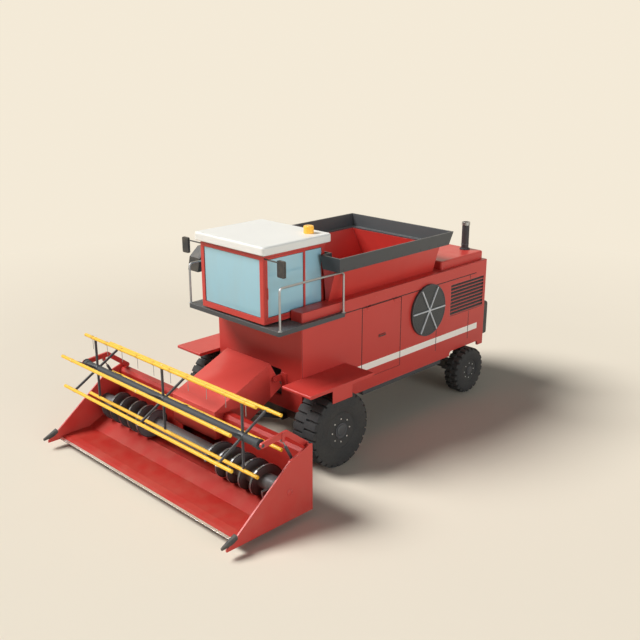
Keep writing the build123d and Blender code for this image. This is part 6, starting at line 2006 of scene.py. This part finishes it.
# ---- Studio ----
@dataclass
class Studio:
    """A plain pale floor that fades into its backdrop, soft lamps and the camera."""

    backdrop: Colour = seen(0.957, 0.918, 0.845)
    floor: Colour = seen(0.900, 0.858, 0.785)
    floor_patch: Colour = seen(0.8, 0.76, 0.68)
    floor_reach: float = 60.0
    eye: Point = (11.8015, 12.011, 7.651)
    heading: float = 224.79  # degrees from +X round +Z
    dip: float = 17.82
    lens: float = 49.17  # millimetres, as the sensor's width
    sensor: float = 36.0
    fade_start: float = 9.0  # distances between which the floor turns into the backdrop
    fade_end: float = 19.0
    sky: float = 0.08
    sky_colour: Colour = (0.88, 0.98, 1.06)
    key: float = 3.92
    key_spread: float = 27.0
    key_way: Point = (-0.63, 0.70, -1.0)
    fill: float = 1.62
    fill_spread: float = 40.0
    fill_way: Point = (-0.15, -0.98, -0.09)
    fill_colour: Colour = (0.92, 0.98, 1.04)

    def build(self) -> None:
        """Makes the whole studio."""
        bpy.context.scene.view_settings.view_transform = "Standard"
        self.build_world()
        self.build_floor()
        self.build_lamp("key", self.key_way, self.key, self.key_spread, WHITE)
        self.build_lamp("fill", self.fill_way, self.fill, self.fill_spread, self.fill_colour)
        self.build_camera()

    @staticmethod
    def shown(graph: Graph) -> Value:
        """Tells what the camera sees straight, in a gloss or through glass from what only gets light.

        Args:
            graph: The graph that asks.

        Returns:
            1 for such rays and 0 for the others.
        """
        path = graph.add("ShaderNodeLightPath")
        camera, gloss, through = (Value(graph, path.outputs[f"Is {name} Ray"])
                                  for name in ("Camera", "Glossy", "Transmission"))
        return (camera + gloss + through).between(0.0, 1.0)

    def build_world(self) -> None:
        """Even light from all round, behind a plain backdrop colour."""
        graph = Graph(bpy.data.worlds.new("studio"))
        light = graph.node("ShaderNodeBackground", inputs={"Color": self.sky_colour, "Strength": self.sky})
        plain = graph.node("ShaderNodeBackground", inputs={"Color": self.backdrop, "Strength": 1.0})
        both = graph.node("ShaderNodeMixShader", inputs={0: self.shown(graph), 1: light, 2: plain})
        bpy.context.scene.world = graph.close(both)

    def build_floor(self) -> None:
        """A wide floor whose colour turns into the backdrop's with distance."""
        graph = Graph(bpy.data.materials.new("studio floor"))
        x, y, _ = graph.split(graph.place())
        away = (x ** 2.0 + y ** 2.0) ** 0.5
        fade = away.between(self.fade_start, self.fade_end) * self.shown(graph)
        shade = graph.mix(graph.grain(1.5, 2.0) * 0.04, self.floor, self.floor_patch)
        matt = graph.node("ShaderNodeBsdfPrincipled", inputs={"Base Color": shade, "Roughness": 0.85})
        far = graph.node("ShaderNodeEmission", inputs={"Color": self.backdrop, "Strength": 1.0})
        mesh = bpy.data.meshes.new("floor")
        reach = self.floor_reach
        mesh.from_pydata([(x * reach, y * reach, 0.0) for x, y in ((-1, -1), (1, -1), (1, 1), (-1, 1))], [],
                         [(0, 1, 2, 3)])
        both = graph.node("ShaderNodeMixShader", inputs={0: fade, 1: matt, 2: far})
        mesh.materials.append(graph.close(both))
        floor = bpy.data.objects.new("floor", mesh)
        bpy.context.scene.collection.objects.link(floor)

    def build_lamp(self, name: str, way: Point, power: float, disc: float, colour: Colour) -> None:
        """A broad lamp as far off as the sun.

        Args:
            name: The lamp's name.
            way: The way that its light goes.
            power: How strong it is.
            disc: How wide its disc is, in degrees; a wider one has softer shadows.
            colour: Its colour.
        """
        lamp = bpy.data.lights.new(name, "SUN")
        lamp.color = colour
        lamp.energy = power
        lamp.angle = radians(disc)
        self.stand(name, lamp, Vector(way))

    def build_camera(self) -> None:
        """The camera, level from side to side."""
        camera = bpy.data.cameras.new("camera")
        camera.lens = self.lens
        camera.sensor_width = self.sensor
        camera.clip_end = 200.0
        turn, down = radians(self.heading), radians(self.dip)
        way = Vector((cos(turn) * cos(down), sin(turn) * cos(down), -sin(down)))
        stand = self.stand("camera", camera, way)
        stand.location = self.eye
        bpy.context.scene.camera = stand

    @staticmethod
    def stand(name: str, data: bpy.types.ID, way: Vector) -> bpy.types.Object:
        """Puts a lamp or camera in the studio.

        Args:
            name: Its name.
            data: What stands there.
            way: The way that it looks.

        Returns:
            Its object.
        """
        stand = bpy.data.objects.new(name, data)
        stand.rotation_euler = way.to_track_quat("-Z", "Y").to_euler()
        bpy.context.scene.collection.objects.link(stand)
        return stand


def main() -> None:
    """Builds the studio and every sub-assembly's looks."""
    logging.basicConfig(level=logging.INFO, format="%(name)s: %(message)s")
    Studio().build()
    for corner in ("front_left", "front_right"):
        Wheel(corner, lugs=26, lug_height=0.050, hub_radius=0.150, bolt_circle=0.230, bolt_size=0.015).build()
    for corner in ("rear_left", "rear_right"):
        Wheel(corner, lugs=22, lug_height=0.046, hub_radius=0.095, bolt_circle=0.170, bolt_size=0.012,
              lug_share=0.66).build()
    for kind in (Running, BodySides, EngineBay, Cab, Deck, GrainTank, Header, Feeder, Reel):
        kind().build()
        LOG.info("%s is dressed", kind.__name__)


if __name__ == "__main__":
    main()
